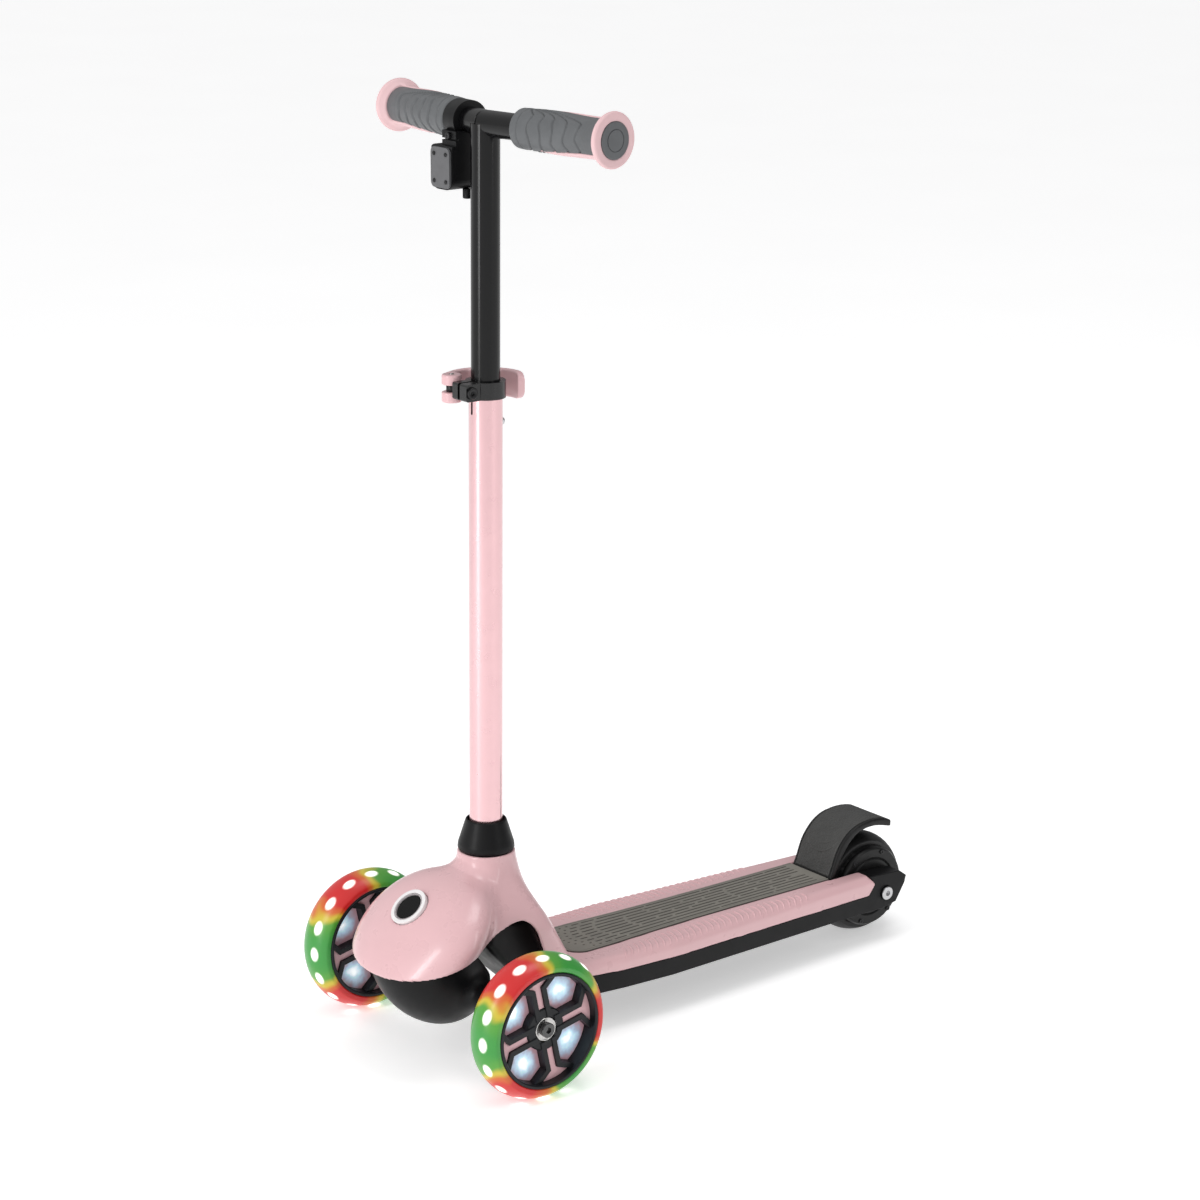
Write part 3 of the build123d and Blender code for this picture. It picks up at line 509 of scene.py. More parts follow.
PINK = (0.72, 0.45, 0.47)
BLACK = (0.004, 0.004, 0.0045)
MATERIALS = {
    "pink_shell": surface_material(
        "pink_shell", PINK, 0.3, patch=40, shade=0.02, grain=0.5, depth=0.002, coat=0.35, coat_rough=0.12
    ),
    "pink_tube": surface_material(
        "pink_tube", (0.78, 0.50, 0.52), 0.24,
        patch=30, shade=0.015, grain=0.35, depth=0.0006, metallic=0.92, coat=0.4
    ),
    "black_plastic": surface_material(
        "black_plastic", BLACK, 0.42, patch=30, shade=0.15, grain=0.8, depth=0.012, specular=0.2
    ),
    "black_tube": surface_material(
        "black_tube", (0.003, 0.003, 0.0034), 0.2,
        patch=30, shade=0.06, grain=0.4, depth=0.0006, specular=0.3, rough_range=0.02
    ),
    "black_clamp": surface_material(
        "black_clamp", (0.006, 0.006, 0.0065), 0.25, patch=12, shade=0.12, grain=0.5, depth=0.002
    ),
    "mat_rubber": hatched_rubber("mat_rubber", (0.215, 0.203, 0.178)),
    "grip_rubber": surface_material(
        "grip_rubber", (0.105, 0.110, 0.115), 0.5,
        patch=14, shade=0.08, grain=0.6, depth=0.02, specular=0.4
    ),
    "grip_pink": surface_material(
        "grip_pink", (0.74, 0.50, 0.515), 0.5, patch=20, shade=0.03, grain=0.6, depth=0.02, specular=0.4
    ),
    "white_ring": surface_material(
        "white_ring", (0.80, 0.78, 0.78), 0.25, patch=10, shade=0.02, grain=0.4, depth=0.004
    ),
    "grey_ring": surface_material(
        "grey_ring", (0.48, 0.44, 0.45), 0.3, patch=10, shade=0.05, grain=0.4, depth=0.006
    ),
    "button_black": surface_material(
        "button_black", (0.002, 0.002, 0.002), 0.3,
        patch=8, shade=0.1, grain=0.5, depth=0.002, specular=0.15
    ),
    "steel": surface_material(
        "steel", (0.50, 0.49, 0.48), 0.22, patch=6, shade=0.08, grain=0.3, depth=0.001, metallic=1.0
    ),
    "black_steel": surface_material(
        "black_steel", (0.02, 0.02, 0.021), 0.3,
        patch=5, shade=0.15, grain=0.3, depth=0.002, metallic=0.6
    ),
    "chrome": surface_material(
        "chrome", (0.50, 0.50, 0.51), 0.12,
        patch=6, shade=0.04, grain=0.3, depth=0.0006, metallic=1.0, rough_range=0.03
    ),
    "wheel_black": surface_material(
        "wheel_black", (0.007, 0.008, 0.010), 0.38,
        patch=14, shade=0.15, grain=0.5, depth=0.01, specular=0.3
    ),
    "wheel_pink": surface_material(
        "wheel_pink", (0.72, 0.44, 0.47), 0.4, patch=14, shade=0.04, grain=0.5, depth=0.008
    ),
    "light_strip": surface_material(
        "light_strip", (0.82, 0.82, 0.80), 0.5, patch=10, shade=0.04, grain=0.5, depth=0.01
    ),
    "rear_tyre": surface_material(
        "rear_tyre", (0.007, 0.007, 0.007), 0.5, patch=20, shade=0.15, grain=0.7, depth=0.03
    ),
    "rear_hub": surface_material(
        "rear_hub", (0.008, 0.008, 0.008), 0.38,
        patch=16, shade=0.15, grain=0.5, depth=0.015, specular=0.3
    ),
    "brake_black": surface_material(
        "brake_black", (0.006, 0.006, 0.006), 0.42,
        patch=20, shade=0.15, grain=0.7, depth=0.02, specular=0.3
    ),
    "dark_bolt": surface_material(
        "dark_bolt", (0.10, 0.10, 0.10), 0.18, patch=4, shade=0.1, grain=0.3, depth=0.001, metallic=1.0
    ),
    "brake_pad": surface_material(
        "brake_pad", (0.045, 0.045, 0.043), 0.5, patch=12, shade=0.12, grain=0.6, depth=0.03
    ),
    "cover_grey": surface_material(
        "cover_grey", (0.10, 0.10, 0.105), 0.42, patch=10, shade=0.08, grain=0.5, depth=0.02
    ),
}
LIT = light_material()


# ---------------------------------------------------------------- pink nose, neck and deck cover

DECK_HALF_WIDTHS = [(88, 46), (104, 57), (147, 60.5), (200, 62), (430, 48.5), (456, 47.5), (500, 46.5)]
DOME_RADII = (72.0, 67.5, 29.0)
DOME_BACK, DOME_DOWN = -8.0, -30.0
WALL = 3.0
COVER_END = [(430, 47.5), (448, 47.2), (456, 57), (449.6, COVER_TOP)]
ARCH = [
    (0, 113), (28, 120), (42, 120.5), (52, 112), (59, 93), (66, 76), (76, 63), (88, 56), (104, 54.4),
    (147, 52.2),
]
NECK_BACK = [
    (64.8, 200), (64.9, 166), (66, 148), (70, 130), (76, 112), (82, 98), (88, 85), (94, 74), (103, 63),
    (114, 50), (126, 30),
]
NECK_FRONT = [(-20, 30), (-20, 140), (6, 152), (13, 158), (15.6, 166), (15.8, 200)]
NECK_HALF_WIDTHS = [
    (24.7, 215), (24.9, 176), (26, 165), (29.5, 152), (34.5, 143), (42, 134), (50, 124), (56, 112),
    (57.6, 98), (57.2, 60), (57, 20),
]


def deck_half_width(y):
    """Half width of the deck cover at a place along it."""
    ys, widths = zip(*DECK_HALF_WIDTHS)
    return np.interp(y, ys, widths)


def pink_outside(grid):
    """Solid outside form: dome over the truck, flared neck and deck cover in one."""
    y_pivot, z_pivot = grid.pivot()
    dome = ellipsoid(grid.x, y_pivot - DOME_BACK, z_pivot - DOME_DOWN, DOME_RADII)
    neck_side = outline(spline(NECK_BACK) + NECK_FRONT, grid.y, grid.z)
    neck_front = outline(mirrored(spline(NECK_HALF_WIDTHS)), grid.x, grid.z)
    edge = np.interp(grid.z, [60, 100, 150, 172], [6, 15, 20, 24])
    neck = round_and(neck_side, neck_front, edge)
    front = round_or(dome, neck, 10.0)
    plan = outline(mirrored([(x, y) for y, x in DECK_HALF_WIDTHS]), grid.x, grid.y)
    deck = round_and(plan, grid.z - COVER_TOP, 8.0)
    return round_or(front, deck, np.interp(grid.z, [60, 68], [1.0, 4.5]))


def pink_body():
    """Thin shell: nose, neck and deck cover, open below."""
    grid = Grid((-75, -85.5, 43), (75, 460.5, 176), 1.4)
    outside = pink_outside(grid)
    shell = np.maximum(outside, -(outside + WALL))
    lower = [(-110, 77.5), (-76, 88.5), (-20, 106.7)] + spline(ARCH)
    lower += COVER_END + [(449.6, 260), (-110, 260)]
    shell = round_and(shell, outline(lower, grid.y, grid.z), 0.7)
    shell = round_and(shell, grid.z - 172.6, 1.2)
    column = np.hypot(grid.x, grid.y - 40.1) - 20.4
    shell = cut(shell, np.maximum(column, 150 - grid.z))
    y_pivot, z_pivot = grid.pivot()
    shell = cut(shell, np.maximum(np.hypot(grid.x, y_pivot) - 17.5, -20 - z_pivot), 0.4)
    mat = outline(mirrored([(x + 0.3, y) for x, y in mat_outline()]), grid.x, grid.y)
    shell = cut(shell, np.maximum(mat, COVER_TOP - 1.0 - grid.z), 0.3)
    slot = np.maximum(np.abs(grid.x) - 28.8, SLOT_FRONT - grid.y)
    shell = cut(shell, slot, 1.0)
    verts, quads = surface(shell, grid)
    stands_for = ("nose_shell", "deck_cover")
    add_piece("pink_body", verts, quads, "deck", MATERIALS["pink_shell"], stands_for)


# ---------------------------------------------------------------- grip mat

MAT_WIDTHS = [(112, 32), (150, 32), (200, 29.5), (250, 28), (300, 27.5), (414, 28)]
MAT_FRONT, MAT_CORNER = 112.0, 17.0


def mat_half_width(y):
    """Half width of the mat at a place along it, with its rounded front corners."""
    ys, widths = zip(*MAT_WIDTHS)
    plain = np.interp(y, ys, widths)
    ahead = np.clip(MAT_FRONT + MAT_CORNER - y, 0, MAT_CORNER)
    return plain - MAT_CORNER + np.sqrt(MAT_CORNER**2 - ahead**2)


def mat_outline():
    """Right half of the mat seen from above, front to back."""
    ahead = MAT_CORNER * (1 - np.cos(np.linspace(0, math.pi / 2, 10)))
    ys = [*(MAT_FRONT + ahead), 150, 200, 250, 300, SLOT_FRONT + 2]
    return [(float(mat_half_width(y)), float(y)) for y in ys]


def mat_grooves(x, y):
    """Depth share of the moulded pattern: dots, then dashes that grow into long lines."""
    rows = np.arange(-4, 5)
    depth = np.zeros_like(x)
    stretch = mat_half_width(np.maximum(y, 130)) / 32
    for row in rows:
        line = row * 6.3 * stretch
        start = 124 + 0.9 * row * row
        dashes = [(start, 0.2), (start + 7.5, 0.4), (start + 17, 3.0), (start + 31, 6.0)]
        reach = start + 42
        long = 15.0 + 11.0 * (abs(row) > 2)
        while reach + 2 * long < 404:
            dashes.append((reach + long, long))
            reach += 2 * long + (5.0 if abs(row) <= 2 else 3.4)
            long = 11.0 + 6.0 * ((row + len(dashes)) % 3) + 14.0 * (abs(row) > 2)
        if reach < 392:
            dashes.append(((reach + 404) / 2, (404 - reach) / 2))
        for centre, half in dashes:
            gap = np.hypot(np.maximum(np.abs(y - centre) - half, 0), x - line) - 0.85
            depth = np.maximum(depth, smoothstep(0.45, -0.45, gap))
    return depth


def grip_mat():
    """Rubber mat with its moulded pattern as real depth."""
    across = np.linspace(-1, 1, 121)
    front = MAT_FRONT + MAT_CORNER * (1 - np.cos(np.linspace(0, math.pi / 2, 26)))
    ys = np.concatenate([front, np.arange(front[-1] + 0.6, SLOT_FRONT - 0.3, 0.6), [SLOT_FRONT - 0.3]])
    y = np.repeat(ys[:, None], len(across), 1)
    half = mat_half_width(y)
    x = across[None, :] * half
    from_edge = np.minimum(half - np.abs(x), y - MAT_FRONT)
    z = COVER_TOP + 1.0 - 0.95 * mat_grooves(x, y) - 0.5 * smoothstep(1.2, 0.0, from_edge)
    rim = smoothstep(2.0, 2.6, from_edge) * smoothstep(3.8, 3.2, from_edge)
    z -= 0.35 * rim
    rows, columns = z.shape
    top = np.stack([x, y, z], -1).reshape(-1, 3)
    base = np.stack([x, y, np.full_like(z, COVER_TOP - 0.9)], -1).reshape(-1, 3)
    quads = grid_quads(rows, columns)
    loop = rim_loop(rows, columns)
    count = len(top)
    ahead = np.roll(loop, -1)
    walls = np.stack([loop, loop + count, ahead + count, ahead], 1)
    faces = [tuple(q) for q in quads.tolist()] + [tuple(q) for q in walls.tolist()]
    faces.append(tuple((loop[::-1] + count).tolist()))
    used = np.zeros(2 * count, bool)
    used[:count] = True
    used[loop + count] = True
    renumber = np.cumsum(used) - 1
    faces = [tuple(int(renumber[v]) for v in f) for f in faces]
    verts = np.concatenate([top, base])[used]
    add_piece("grip_mat_top", verts, faces, "deck", MATERIALS["mat_rubber"], ("grip_mat",))


def cover_ribs():
    """Rows of small raised ribs on the cover at both sides of the mat."""
    verts, faces = [], []
    along = np.linspace(0, 1, 15)
    section = [(-1.3, -0.5), (-0.9, 0.5), (0, 0.8), (0.9, 0.5), (1.3, -0.5)]
    for side in (1, -1):
        for index in range(31):
            centre = 152 + 7.2 * index
            inner = np.interp(centre, [150, 185, 220, 300, 370], [43, 37, 34.5, 34, 39])
            outer = np.interp(centre, [150, 200, 368], [59.5, 60.5, 51.5])
            slant = np.interp(centre, [150, 260, 370], [9.0, 5.0, 2.0])
            x = inner + (outer - inner) * along
            y = centre + slant * (0.5 - along) + 2.0 * np.sin(along * math.pi)
            over = np.clip(x - (deck_half_width(y) - 8.0), 0, 7.99)
            z = COVER_TOP - 8.0 + np.sqrt(64.0 - over**2)
            fade = np.sqrt(np.clip(1 - np.abs(2 * along - 1) ** 6, 0, 1))
            start = len(verts)
            for p, q, r, share in zip(x, y, z, fade):
                for dy, dz in section:
                    rise = dz * share if dz > 0 else dz
                    verts.append((side * p, q + dy * (0.3 + 0.7 * share), r + rise))
            columns = len(section)
            strip = grid_quads(len(along), columns, wrap=True) + start
            ends = [list(range(start, start + columns)), list(range(len(verts) - columns, len(verts)))]
            for quad in strip.tolist():
                faces.append(tuple(quad if side < 0 else quad[::-1]))
            faces.append(tuple(ends[0] if side > 0 else ends[0][::-1]))
            faces.append(tuple(ends[1][::-1] if side > 0 else ends[1]))
    add_piece("cover_ribs", verts, faces, "deck", MATERIALS["pink_shell"])


# ---------------------------------------------------------------- black castings


def truck():
    """Bowl-shaped carrier with a rounded arm to each front wheel."""
    grid = Grid((-116, -84, 22), (116, 50, 138), 1.3)
    y_pivot, z_pivot = grid.pivot()
    down, back = z_pivot + 57, y_pivot + 20
    bowl = ellipsoid(grid.x, back, down, (48.0, 47.4, 62.4))
    bowl = round_and(bowl, np.maximum(y_pivot - 5, z_pivot + 14), 1.5)
    hollow = ellipsoid(grid.x, back, down, (44.0, 43.4, 58.4))
    hollow = np.maximum(np.maximum(hollow, y_pivot - 1), np.maximum(z_pivot + 10, -70 - z_pivot))
    ring = np.maximum(np.hypot(grid.x, y_pivot) - 34, np.maximum(-46 - z_pivot, z_pivot))
    boss = np.maximum(np.hypot(grid.x, y_pivot) - 12, np.maximum(-106 - z_pivot, z_pivot + 46))
    body = cut(cut(bowl, hollow, 1.0), ring, 1.0)
    body = round_or(body, boss, 3.0)
    reach = np.abs(grid.x)
    from_axle = np.hypot(grid.y, grid.z - AXLE_Z)
    arm = (from_axle - np.interp(reach, [30, 114], [15, 10])) * 0.998
    arm = round_and(arm, np.maximum(reach - 114, 30 - reach), 1.0)
    body = round_or(body, arm, 9.0)
    body = cut(body, from_axle - 6.0, 0.3)
    body = cut(body, np.hypot(grid.x, y_pivot) - PIVOT_BORE, 0.3)
    body = cut(body, np.maximum(np.hypot(grid.x, y_pivot) - 9.6, z_pivot + 106), 0.5)
    verts, quads = surface(body, grid)
    look = MATERIALS["black_plastic"]
    add_piece("truck_casting", verts, quads, "truck", look, ("truck",))


def steering_neck():
    """Rounded bracket under the neck of the shell, with the column socket and pivot head plate."""
    grid = Grid((-36.4, -50, 33), (36.4, 90.3, 175), 1.3)
    y_pivot, z_pivot = grid.pivot()
    side = [
        (16.5, 97), (33.5, 77), (57.5, 50), (69, 39), (88, 36), (88, 56), (76, 84), (64, 112), (40, 116),
        (18, 112),
    ]
    neck = round_and(outline(side, grid.y, grid.z), np.abs(grid.x) - 34, 6.0)
    level = np.abs(z_pivot + 37.25) - 7.25
    plate = round_and(np.hypot(grid.x, y_pivot) - 28, level, 1.0)
    link = np.maximum(np.maximum(np.abs(grid.x) - 22, np.abs(y_pivot - 22) - 22), level)
    tilt_y = (grid.y - COLUMN_Y) * LEAN_COS - (grid.z - COLUMN_Z) * LEAN_SIN
    tilt_z = (grid.y - COLUMN_Y) * LEAN_SIN + (grid.z - COLUMN_Z) * LEAN_COS
    from_column_axis = np.hypot(grid.x, tilt_y)
    socket = round_and(from_column_axis - 19.5, np.abs(tilt_z + 62) - 34, 0.8)
    body = round_or(round_or(neck, np.minimum(plate, link), 4.0), socket, 3.0)
    body = cut(body, np.maximum(from_column_axis - 14.4, -88.2 - tilt_z), 0.4)
    body = cut(body, np.maximum(np.hypot(grid.x, y_pivot) - PIVOT_BORE, -60 - z_pivot), 0.3)
    verts, quads = surface(body, grid)
    look = MATERIALS["black_plastic"]
    add_piece("neck_casting", verts, quads, "deck", look, ("steering_neck",))


# ---------------------------------------------------------------- foot brake

BRAKE_HALF = 27.0
PAD_HALF, PAD_SEAT = 23.2, 0.9
BRAKE_TOP = [
    (415.6, 58), (417, 65), (420.5, 73), (426, 87), (431, 95), (438, 102.5), (445, 107.3), (453, 110.6),
    (463, 112.2), (473, 112.6), (486, 110.8), (493.5, 107.4),
]
BRAKE_UNDER = [
    (493, 101.4), (473, 106.0), (455, 104.4), (443, 97.2), (432.5, 84), (426, 72), (422, 62), (422, 56),
]


def brake():
    """Curved pedal over the rear wheel, with a grained foot pad on it."""
    grid = Grid((-29.4, 412.5, 49), (29.4, 496.5, 115), 1.05)
    side = outline(spline(BRAKE_TOP, 5) + spline(BRAKE_UNDER, 5), grid.y, grid.z)
    body = round_and(side, np.abs(grid.x) - BRAKE_HALF, 1.6)
    pivot = np.hypot(grid.y - 419, grid.z - 55)
    body = np.minimum(body, round_and(pivot - 4, np.abs(grid.x) - BRAKE_HALF, 0.6))
    body = cut(body, pivot - 2.05, 0.2)
    body = cut(body, np.maximum(outline(pad_section(0.8), grid.y, grid.z), np.abs(grid.x) - 23.6), 0.3)
    verts, quads = surface(body, grid)
    look = MATERIALS["brake_black"]
    add_piece("brake_body", verts, quads, "brake", look, ("brake_pedal",))
    brake_pad()


def pad_line():
    """Points and outward directions along the top of the pedal, where the pad lies."""
    line = np.array(spline(BRAKE_TOP, 12))
    line = line[(line[:, 1] > 66) | (line[:, 0] > 430)]
    line = line[line[:, 0] < 487]
    length = np.concatenate([[0], np.cumsum(np.hypot(*np.diff(line, axis=0).T))])
    even = np.arange(0, length[-1], 0.45)
    y, z = np.interp(even, length, line[:, 0]), np.interp(even, length, line[:, 1])
    dy, dz = np.gradient(y), np.gradient(z)
    size = np.hypot(dy, dz)
    return even, y, z, -dz / size, dy / size


def pad_section(depth):
    """Closed side outline of the recess for the pad."""
    _, y, z, ny, nz = pad_line()
    outer = list(zip(y[::8] + 2 * ny[::8], z[::8] + 2 * nz[::8]))
    inner = list(zip(y[::8] - depth * ny[::8], z[::8] - depth * nz[::8]))
    return [tuple(map(float, p)) for p in outer + inner[::-1]]


def brake_pad():
    """Grained pad with a plain ring and three arcs raised on it."""
    length, y, z, ny, nz = pad_line()
    across = np.linspace(-PAD_HALF, PAD_HALF, 105)
    s, x = np.meshgrid(length, across, indexing="ij")
    grain = noise.normal(0, 1, s.shape)
    for _ in range(2):
        grain = (grain + np.roll(grain, 1, 0) + np.roll(grain, 1, 1) + np.roll(grain, (1, 1), (0, 1))) / 4
    grain = grain / grain.std()
    top = length[-1]
    raised = np.zeros_like(s)
    ring = np.abs(np.hypot(x, s - top * 0.53) - 6.4)
    raised = np.maximum(raised, smoothstep(1.0, 0.4, ring))
    for k in range(3):
        centre = top * 0.53 - 4.0 * k
        radius = 13.0 + 4.2 * k
        arc = np.abs(np.hypot(x, s - centre) - radius)
        below = smoothstep(0.25, 0.35, (centre - s) / radius)
        raised = np.maximum(raised, smoothstep(0.9, 0.35, arc) * below)
    edge = np.minimum(np.minimum(s, top - s), PAD_HALF - np.abs(x))
    height = 0.05 + 0.45 * smoothstep(0, 1.0, edge) + 0.12 * grain * (1 - raised) + 0.42 * raised
    top_face, under_face = (
        np.stack([x, y[:, None] + ny[:, None] * rise, z[:, None] + nz[:, None] * rise], -1)
        for rise in (height, np.full_like(height, -PAD_SEAT))
    )
    closed_sheet("brake_pad", top_face, under_face, "brake", MATERIALS["brake_pad"])


def closed_sheet(name, top, under, body, material):
    """Solid between two grids of points with the same rows and columns."""
    rows, columns, _ = top.shape
    quads = grid_quads(rows, columns)
    count = rows * columns
    loop = rim_loop(rows, columns)
    ahead = np.roll(loop, -1)
    walls = np.stack([loop, loop + count, ahead + count, ahead], 1)
    faces = np.concatenate([quads, quads[:, ::-1] + count, walls])
    verts = np.concatenate([top.reshape(-1, 3), under.reshape(-1, 3)])
    outwards(add_piece(name, verts, faces, body, material))


def outwards(piece):
    """Turn all faces of a closed piece to the outside."""
    held = bmesh.new()
    held.from_mesh(piece.data)
    bmesh.ops.recalc_face_normals(held, faces=held.faces)
    held.to_mesh(piece.data)
    held.free()


# ---------------------------------------------------------------- clamp lever


def clamp_lever():
    """Quick-release lever: forked cam and a curved handle with a rounded tip."""
    grid = Grid((-37.5, -36, -14), (15, 37.5, 14), 0.8)
    x, y, z = grid.x, grid.y, grid.z
    from_axis = np.hypot(x, y)
    wedge = outline([(0, 0), (-60, -47), (-90, 0), (-60, 70), (0, 90), (27, 80)], x, y)
    half = 12.2
    arc = round_and(round_and(from_axis - 34.5, 28 - from_axis, 2.0), np.abs(z) - half, 2.4)
    arc = np.maximum(arc, wedge)
    cam_x, cam_y = -17.8, -22.0
    cam = round_and(np.hypot(x - cam_x, y - cam_y) - 8.4, np.abs(z) - half, 1.6)
    lever = round_or(arc, cam, 3.0)
    tip = round_and(x - 12.3, np.abs(z) - half, 11.0)
    lever = round_and(lever, tip, 1.2)
    fork = np.maximum(np.maximum(np.abs(x - cam_x) - 20, np.abs(y - cam_y) - 15), np.abs(z) - 3)
    throat = np.maximum(np.maximum(np.abs(x - cam_x + 4) - 12, np.abs(y - cam_y - 12) - 4), np.abs(z) - 3)
    lever = cut(lever, np.minimum(fork, throat), 0.6)
    lever = cut(lever, np.hypot(x - cam_x, y - cam_y) - 2.0, 0.2)
    verts, quads = surface(np.broadcast_to(lever, np.broadcast(x, y, z).shape).copy(), grid)
    verts[:, 2] += CLAMP_HEIGHT
    look = MATERIALS["pink_shell"]
    verts = from_column(verts)
    add_piece("lever_handle", verts, quads, "clamp_lever", look, ("clamp_lever",))


# ---------------------------------------------------------------- grips

STRIP_START, STRIP_END = 70.0, 141.8
GRIP_BORE = 11.05
FLANGE = [
    (STRIP_END, 11), (STRIP_END, 17.4), (143.8, 19.4), (145.8, 21.8), (147.4, 22.8), (149.2, 22.8),
    (150.55, 21.4), (150.55, 15), (147, 15), (147, 11),
]


def strip_gap(angle, along):
    """Distance past the edge of the nearer pink strip, in radians; angle is from the rider's side up."""
    half = math.radians(22) * np.sqrt(np.clip((along - STRIP_START) / 60, 0, 1))
    upper = np.abs(np.angle(np.exp(1j * (angle - math.radians(68)))))
    lower = np.abs(np.angle(np.exp(1j * (angle - math.radians(-108)))))
    return np.minimum(upper, lower) - half


def grip_rubber(side, start):
    """Rubber sleeve with wavy grooves round it and shallow seats for the strips."""
    along = np.arange(start, STRIP_END + 0.01, 0.7)
    around = np.linspace(0, TURN, 144, endpoint=False)
    s, angle = np.meshgrid(along, around, indexing="ij")
    knots = [(start, 15.2), (start + 1.2, 16.5), (start + 8, 16.8), (start + 24, 17.5)]
    knots += [(96, 17.2), (120, 16.2), (STRIP_END, 16.0)]
    radius = np.interp(s, *zip(*knots))
    facing = 0.5 - 0.5 * np.cos(angle)
    bulge = smoothstep(0.5, 0.86, facing) + smoothstep(0.5, 0.14, facing)
    spacing = 4.2 + 9.6 * bulge
    ripple = 1.3 * np.sin(5 * angle + 0.09 * s) * smoothstep(start + 12, start + 24, s)
    band = (s - start - 8.5 + ripple) / spacing
    step = band - np.floor(band)
    inside = smoothstep(-0.02, 0.02, band) * smoothstep(5.6, 5.4, band)
    groove = np.minimum(step, 1 - step) * spacing
    radius -= inside * (1.6 * smoothstep(1.7, 0.2, groove) + 0.5 * step)
    seat = strip_gap(angle, s) * radius
    radius = np.where(s > STRIP_START, np.minimum(radius, 14.5 + 4.0 * smoothstep(0.1, 0.9, seat)), radius)
    outer = np.stack([s, radius * np.cos(angle), radius * np.sin(angle)], -1)
    bore_y, bore_z = GRIP_BORE * np.cos(around), GRIP_BORE * np.sin(around)
    near, far = (
        np.stack([np.full_like(around, end), bore_y, bore_z], -1)[None] for end in (start, STRIP_END)
    )
    rows = np.concatenate([near, outer, far])
    verts = rows.reshape(-1, 3)
    columns = len(around)
    count = len(rows)
    quads = grid_quads(count, columns, wrap=True)
    last = (count - 1) * columns
    j = np.arange(columns)
    k = (j + 1) % columns
    closing = np.stack([last + j, last + k, k, j], 1)
    name = "left" if side > 0 else "right"
    piece = add_piece(
        f"{name}_grip_sleeve",
        from_bar(verts, side),
        np.concatenate([quads, closing]),
        "handlebar",
        MATERIALS["grip_rubber"],
        (f"{name}_grip",),
    )
    outwards(piece)


def grip_trim(side):
    """Dished pink flange in one piece with two tapering strips."""
    grid = Grid((67, -24, -24), (153, 24, 24), 0.85)
    from_axis = np.hypot(grid.y, grid.z)
    flange = outline(FLANGE, grid.x, from_axis)
    angle = np.arctan2(grid.z, grid.y)
    edge = strip_gap(angle, grid.x) * from_axis
    height = 17.5 - 0.9 * smoothstep(89, 71, grid.x) - 0.5 * smoothstep(96, 128, grid.x)
    ends = np.maximum(STRIP_START - grid.x, grid.x - STRIP_END - 1)
    strip = round_and(edge, from_axis - height, 1.2)
    strip = round_and(strip, np.maximum(14.6 - from_axis, ends), 0.4)
    body = round_or(flange, strip, 3.0)
    body = cut(body, from_axis - GRIP_BORE, 0.2)
    body = cut(body, np.maximum(from_axis - 15.0, 147 - grid.x), 0.2)
    verts, quads = surface(body, grid)
    name = "left" if side > 0 else "right"
    if side < 0:
        quads = quads[:, ::-1]
    add_piece(
        f"{name}_grip_flange",
        from_bar(verts, side),
        quads,
        "handlebar",
        MATERIALS["grip_pink"],
        (f"{name}_grip_trim",),
    )


# ---------------------------------------------------------------- wheel lights


def wheel_lights(side):
    """Sixteen oval light faces in a ring beside the crown of a front tyre."""
    verts, faces = [], []
    rings = [(1.0, -0.5), (0.97, 0.0), (0.7, 0.12), (0.35, 0.16)]
    count = 20
    for index in range(LIGHTS):
        middle = TURN * index / LIGHTS
        start = len(verts)
        for share, rise in rings:
            for k in range(count):
                turn = TURN * k / count
                long = LIGHT_LONG * share * math.copysign(abs(math.cos(turn)) ** 0.8, math.cos(turn))
                wide = LIGHT_WIDE * share * math.copysign(abs(math.sin(turn)) ** 0.8, math.sin(turn))
                aside = LIGHT_ASIDE + wide
                crown = CROWN - CROWN_ARC + math.sqrt(CROWN_ARC**2 - aside**2)
                radius = crown + rise - 0.06
                angle = middle + long / CROWN
                back, up = radius * math.cos(angle), radius * math.sin(angle)
                verts.append((side * TRACK + aside, back, AXLE_Z + up))
        quads = grid_quads(len(rings), count, wrap=True) + start
        faces += [tuple(q) for q in quads.tolist()]
        faces.append(tuple(range(start, start + count)))
        faces.append(tuple(range(len(verts) - count, len(verts))[::-1]))
    name = "left" if side > 0 else "right"
    piece = add_piece(f"{name}_tyre_lights", verts, faces, f"{name}_wheel", LIT)
    outwards(piece)


# ---------------------------------------------------------------- carried-over CAD nodes

NODE_EDGES = {
    "chassis": 1.2,
    "collar": 0.8,
    "clamp_band": 0.5,
    "control_unit": 0.8,
    "unit_cover": 0.4,
    "rear_hub_covers": 0.8,
    "rear_tyre": 0.6,
    "left_rim": 0.4,
    "right_rim": 0.4,
    "left_rim_panels": 0.4,
    "right_rim_panels": 0.4,
    "left_rim_windows": 0.5,
    "right_rim_windows": 0.5,
    "left_grip_cap": 0.3,
    "right_grip_cap": 0.3,
    "lower_tube": 0.2,
    "rear_axle_bolts": 0.2,
    "front_wheel_bolts": 0.2,
}


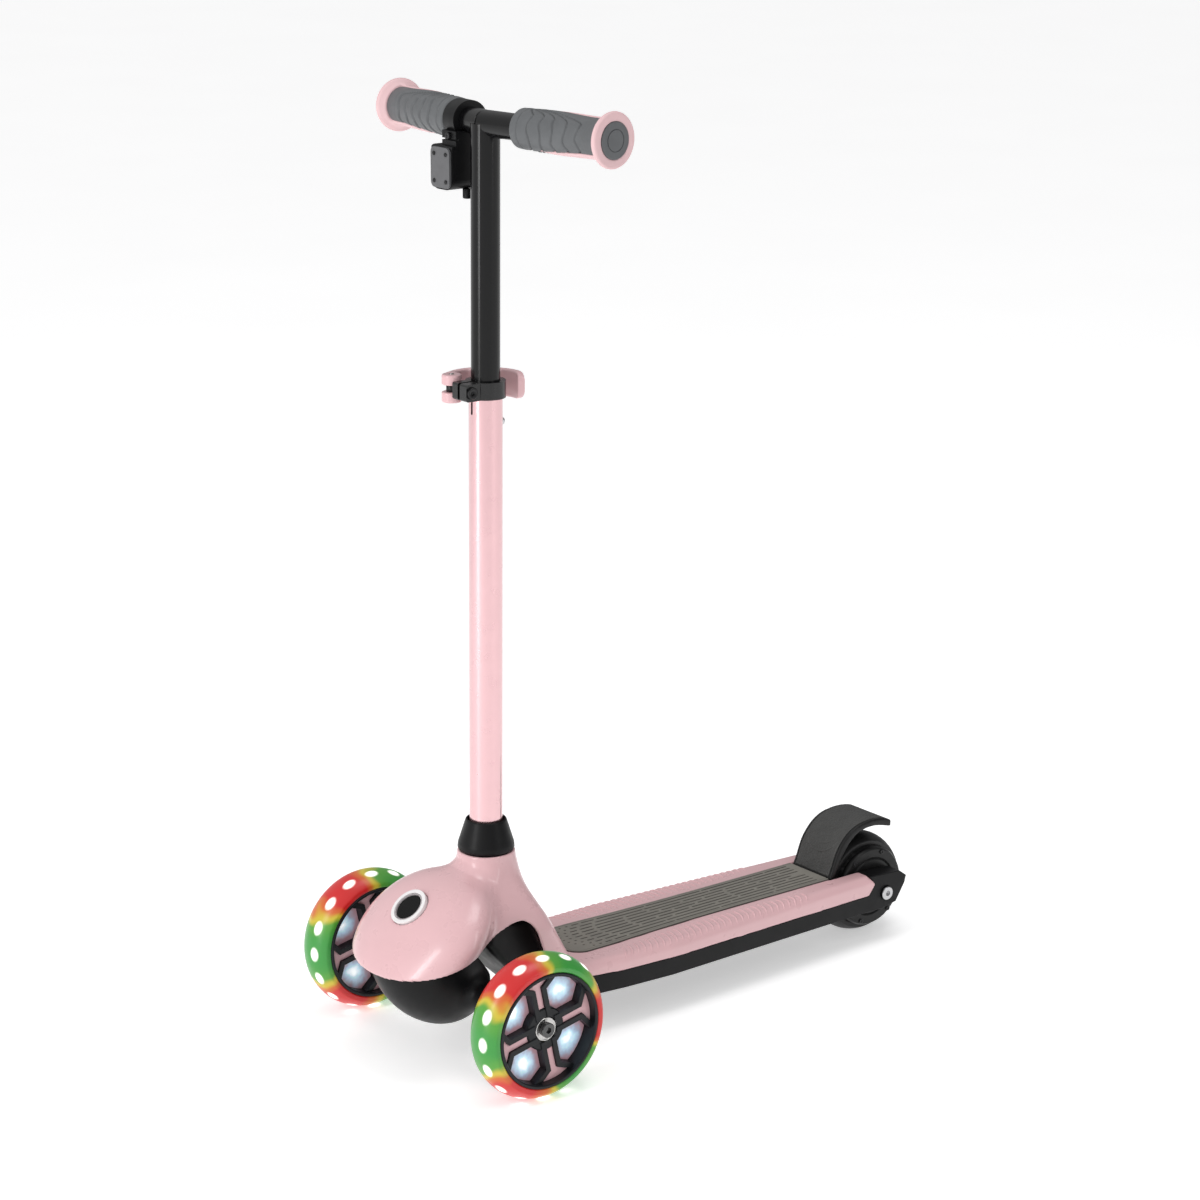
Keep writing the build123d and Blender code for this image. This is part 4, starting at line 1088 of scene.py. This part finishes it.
def finish_nodes():
    """Material for every CAD node that stays, and softened edges where they show."""
    slots = {row["node"]: row["material_slot"] for row in frame["record"]["subparts"]}
    for node, piece in frame["nodes"].items():
        if piece.hide_render:
            continue
        slot = slots[node]
        if slot == "wheel_tyre":
            look = tyre_material(1 if node.startswith("left") else -1)
        elif slot == "wheel_clear":
            look = pane_material(1 if node.startswith("left") else -1)
        else:
            look = MATERIALS["dark_bolt" if node == "front_wheel_bolts" else slot]
        piece.data.materials.clear()
        piece.data.materials.append(look)
        weld = piece.modifiers.new("weld", "WELD")
        weld.merge_threshold = 1e-6
        if node in NODE_EDGES:
            bevel = piece.modifiers.new("edge", "BEVEL")
            bevel.width = NODE_EDGES[node] * MM
            bevel.segments = 2
            bevel.limit_method = "ANGLE"
            bevel.angle_limit = math.radians(35)
            bevel.use_clamp_overlap = True
        weighted = piece.modifiers.new("shade", "WEIGHTED_NORMAL")
        weighted.keep_sharp = False
        weighted.weight = 60


# ---------------------------------------------------------------- stage, lights and camera


def stage():
    """Pale floor, soft light and the camera."""
    made, tree, shader = material_base("floor")
    pale = [(0.3, (0.93, 0.93, 0.93)), (0.7, (0.95, 0.95, 0.95))]
    tree.links.new(ramp_of(tree, noise_of(tree, 400.0), pale), shader.inputs["Base Color"])
    shader.inputs["Roughness"].default_value = 0.5
    shader.inputs["Specular IOR Level"].default_value = 0.1
    shader.inputs["Emission Color"].default_value = (1, 1, 1, 1)
    shader.inputs["Emission Strength"].default_value = 0.42
    mesh = bpy.data.meshes.new("floor")
    half = 60.0
    corners = [(-half, -half, 0), (half, -half, 0), (half, half, 0), (-half, half, 0)]
    mesh.from_pydata(corners, [], [(0, 1, 2, 3)])
    mesh.materials.append(made)
    floor = bpy.data.objects.new("floor", mesh)
    bpy.context.scene.collection.objects.link(floor)

    world = bpy.data.worlds.new("studio")
    bpy.context.scene.world = world
    world.use_nodes = True
    back = world.node_tree.nodes["Background"]
    where = add_node(world.node_tree, "TexCoord").outputs["Generated"]
    towards = {0: where, 1: (-0.20, -0.72, 0.60)}
    side = add_node(world.node_tree, "VectorMath", towards, operation="DOT_PRODUCT")
    dark, grey, light_grey = (0.16, 0.16, 0.17), (0.42, 0.42, 0.43), (0.95, 0.95, 0.95)
    shade = [(0.0, dark), (0.45, grey), (0.75, light_grey), (1.0, (1, 1, 1))]
    level = spread(world.node_tree, side.outputs["Value"], 0, 1, -1, 1)
    world.node_tree.links.new(ramp_of(world.node_tree, level, shade), back.inputs["Color"])
    back.inputs["Strength"].default_value = 0.74

    for place, aim, width, height, power in (
        ((2.6, 0.9, 1.5), (0, 0, 0.4), 0.25, 2.2, 9),
        ((0.1, -2.6, 1.3), (0, 0, 0.4), 0.42, 2.4, 28),
        ((0.3, 0.4, 2.8), (0, 0, 0.2), 1.2, 1.2, 14),
    ):
        light = bpy.data.lights.new("softbox", "AREA")
        light.shape = "RECTANGLE"
        light.size = width
        light.size_y = height
        light.energy = power
        box = bpy.data.objects.new("softbox", light)
        bpy.context.scene.collection.objects.link(box)
        box.location = place
        direction = Vector(aim) - Vector(place)
        box.rotation_euler = direction.to_track_quat("-Z", "Y").to_euler()

    lens = bpy.data.cameras.new("camera")
    lens.lens = 96.78
    lens.sensor_width = 36.0
    lens.clip_end = 200.0
    camera = bpy.data.objects.new("camera", lens)
    bpy.context.scene.collection.objects.link(camera)
    camera.location = (2.1389, -1.71365, 1.1310)
    camera.rotation_euler = (math.radians(74.43), 0, math.radians(52.18))
    bpy.context.scene.camera = camera
    bpy.context.scene.view_settings.view_transform = "Standard"


pink_body()
grip_mat()
cover_ribs()
truck()
steering_neck()
brake()
clamp_lever()
for bar_side, grip_start in ((1, 45.0), (-1, 44.5)):
    grip_rubber(bar_side, grip_start)
    grip_trim(bar_side)
    wheel_lights(bar_side)
finish_nodes()
stage()
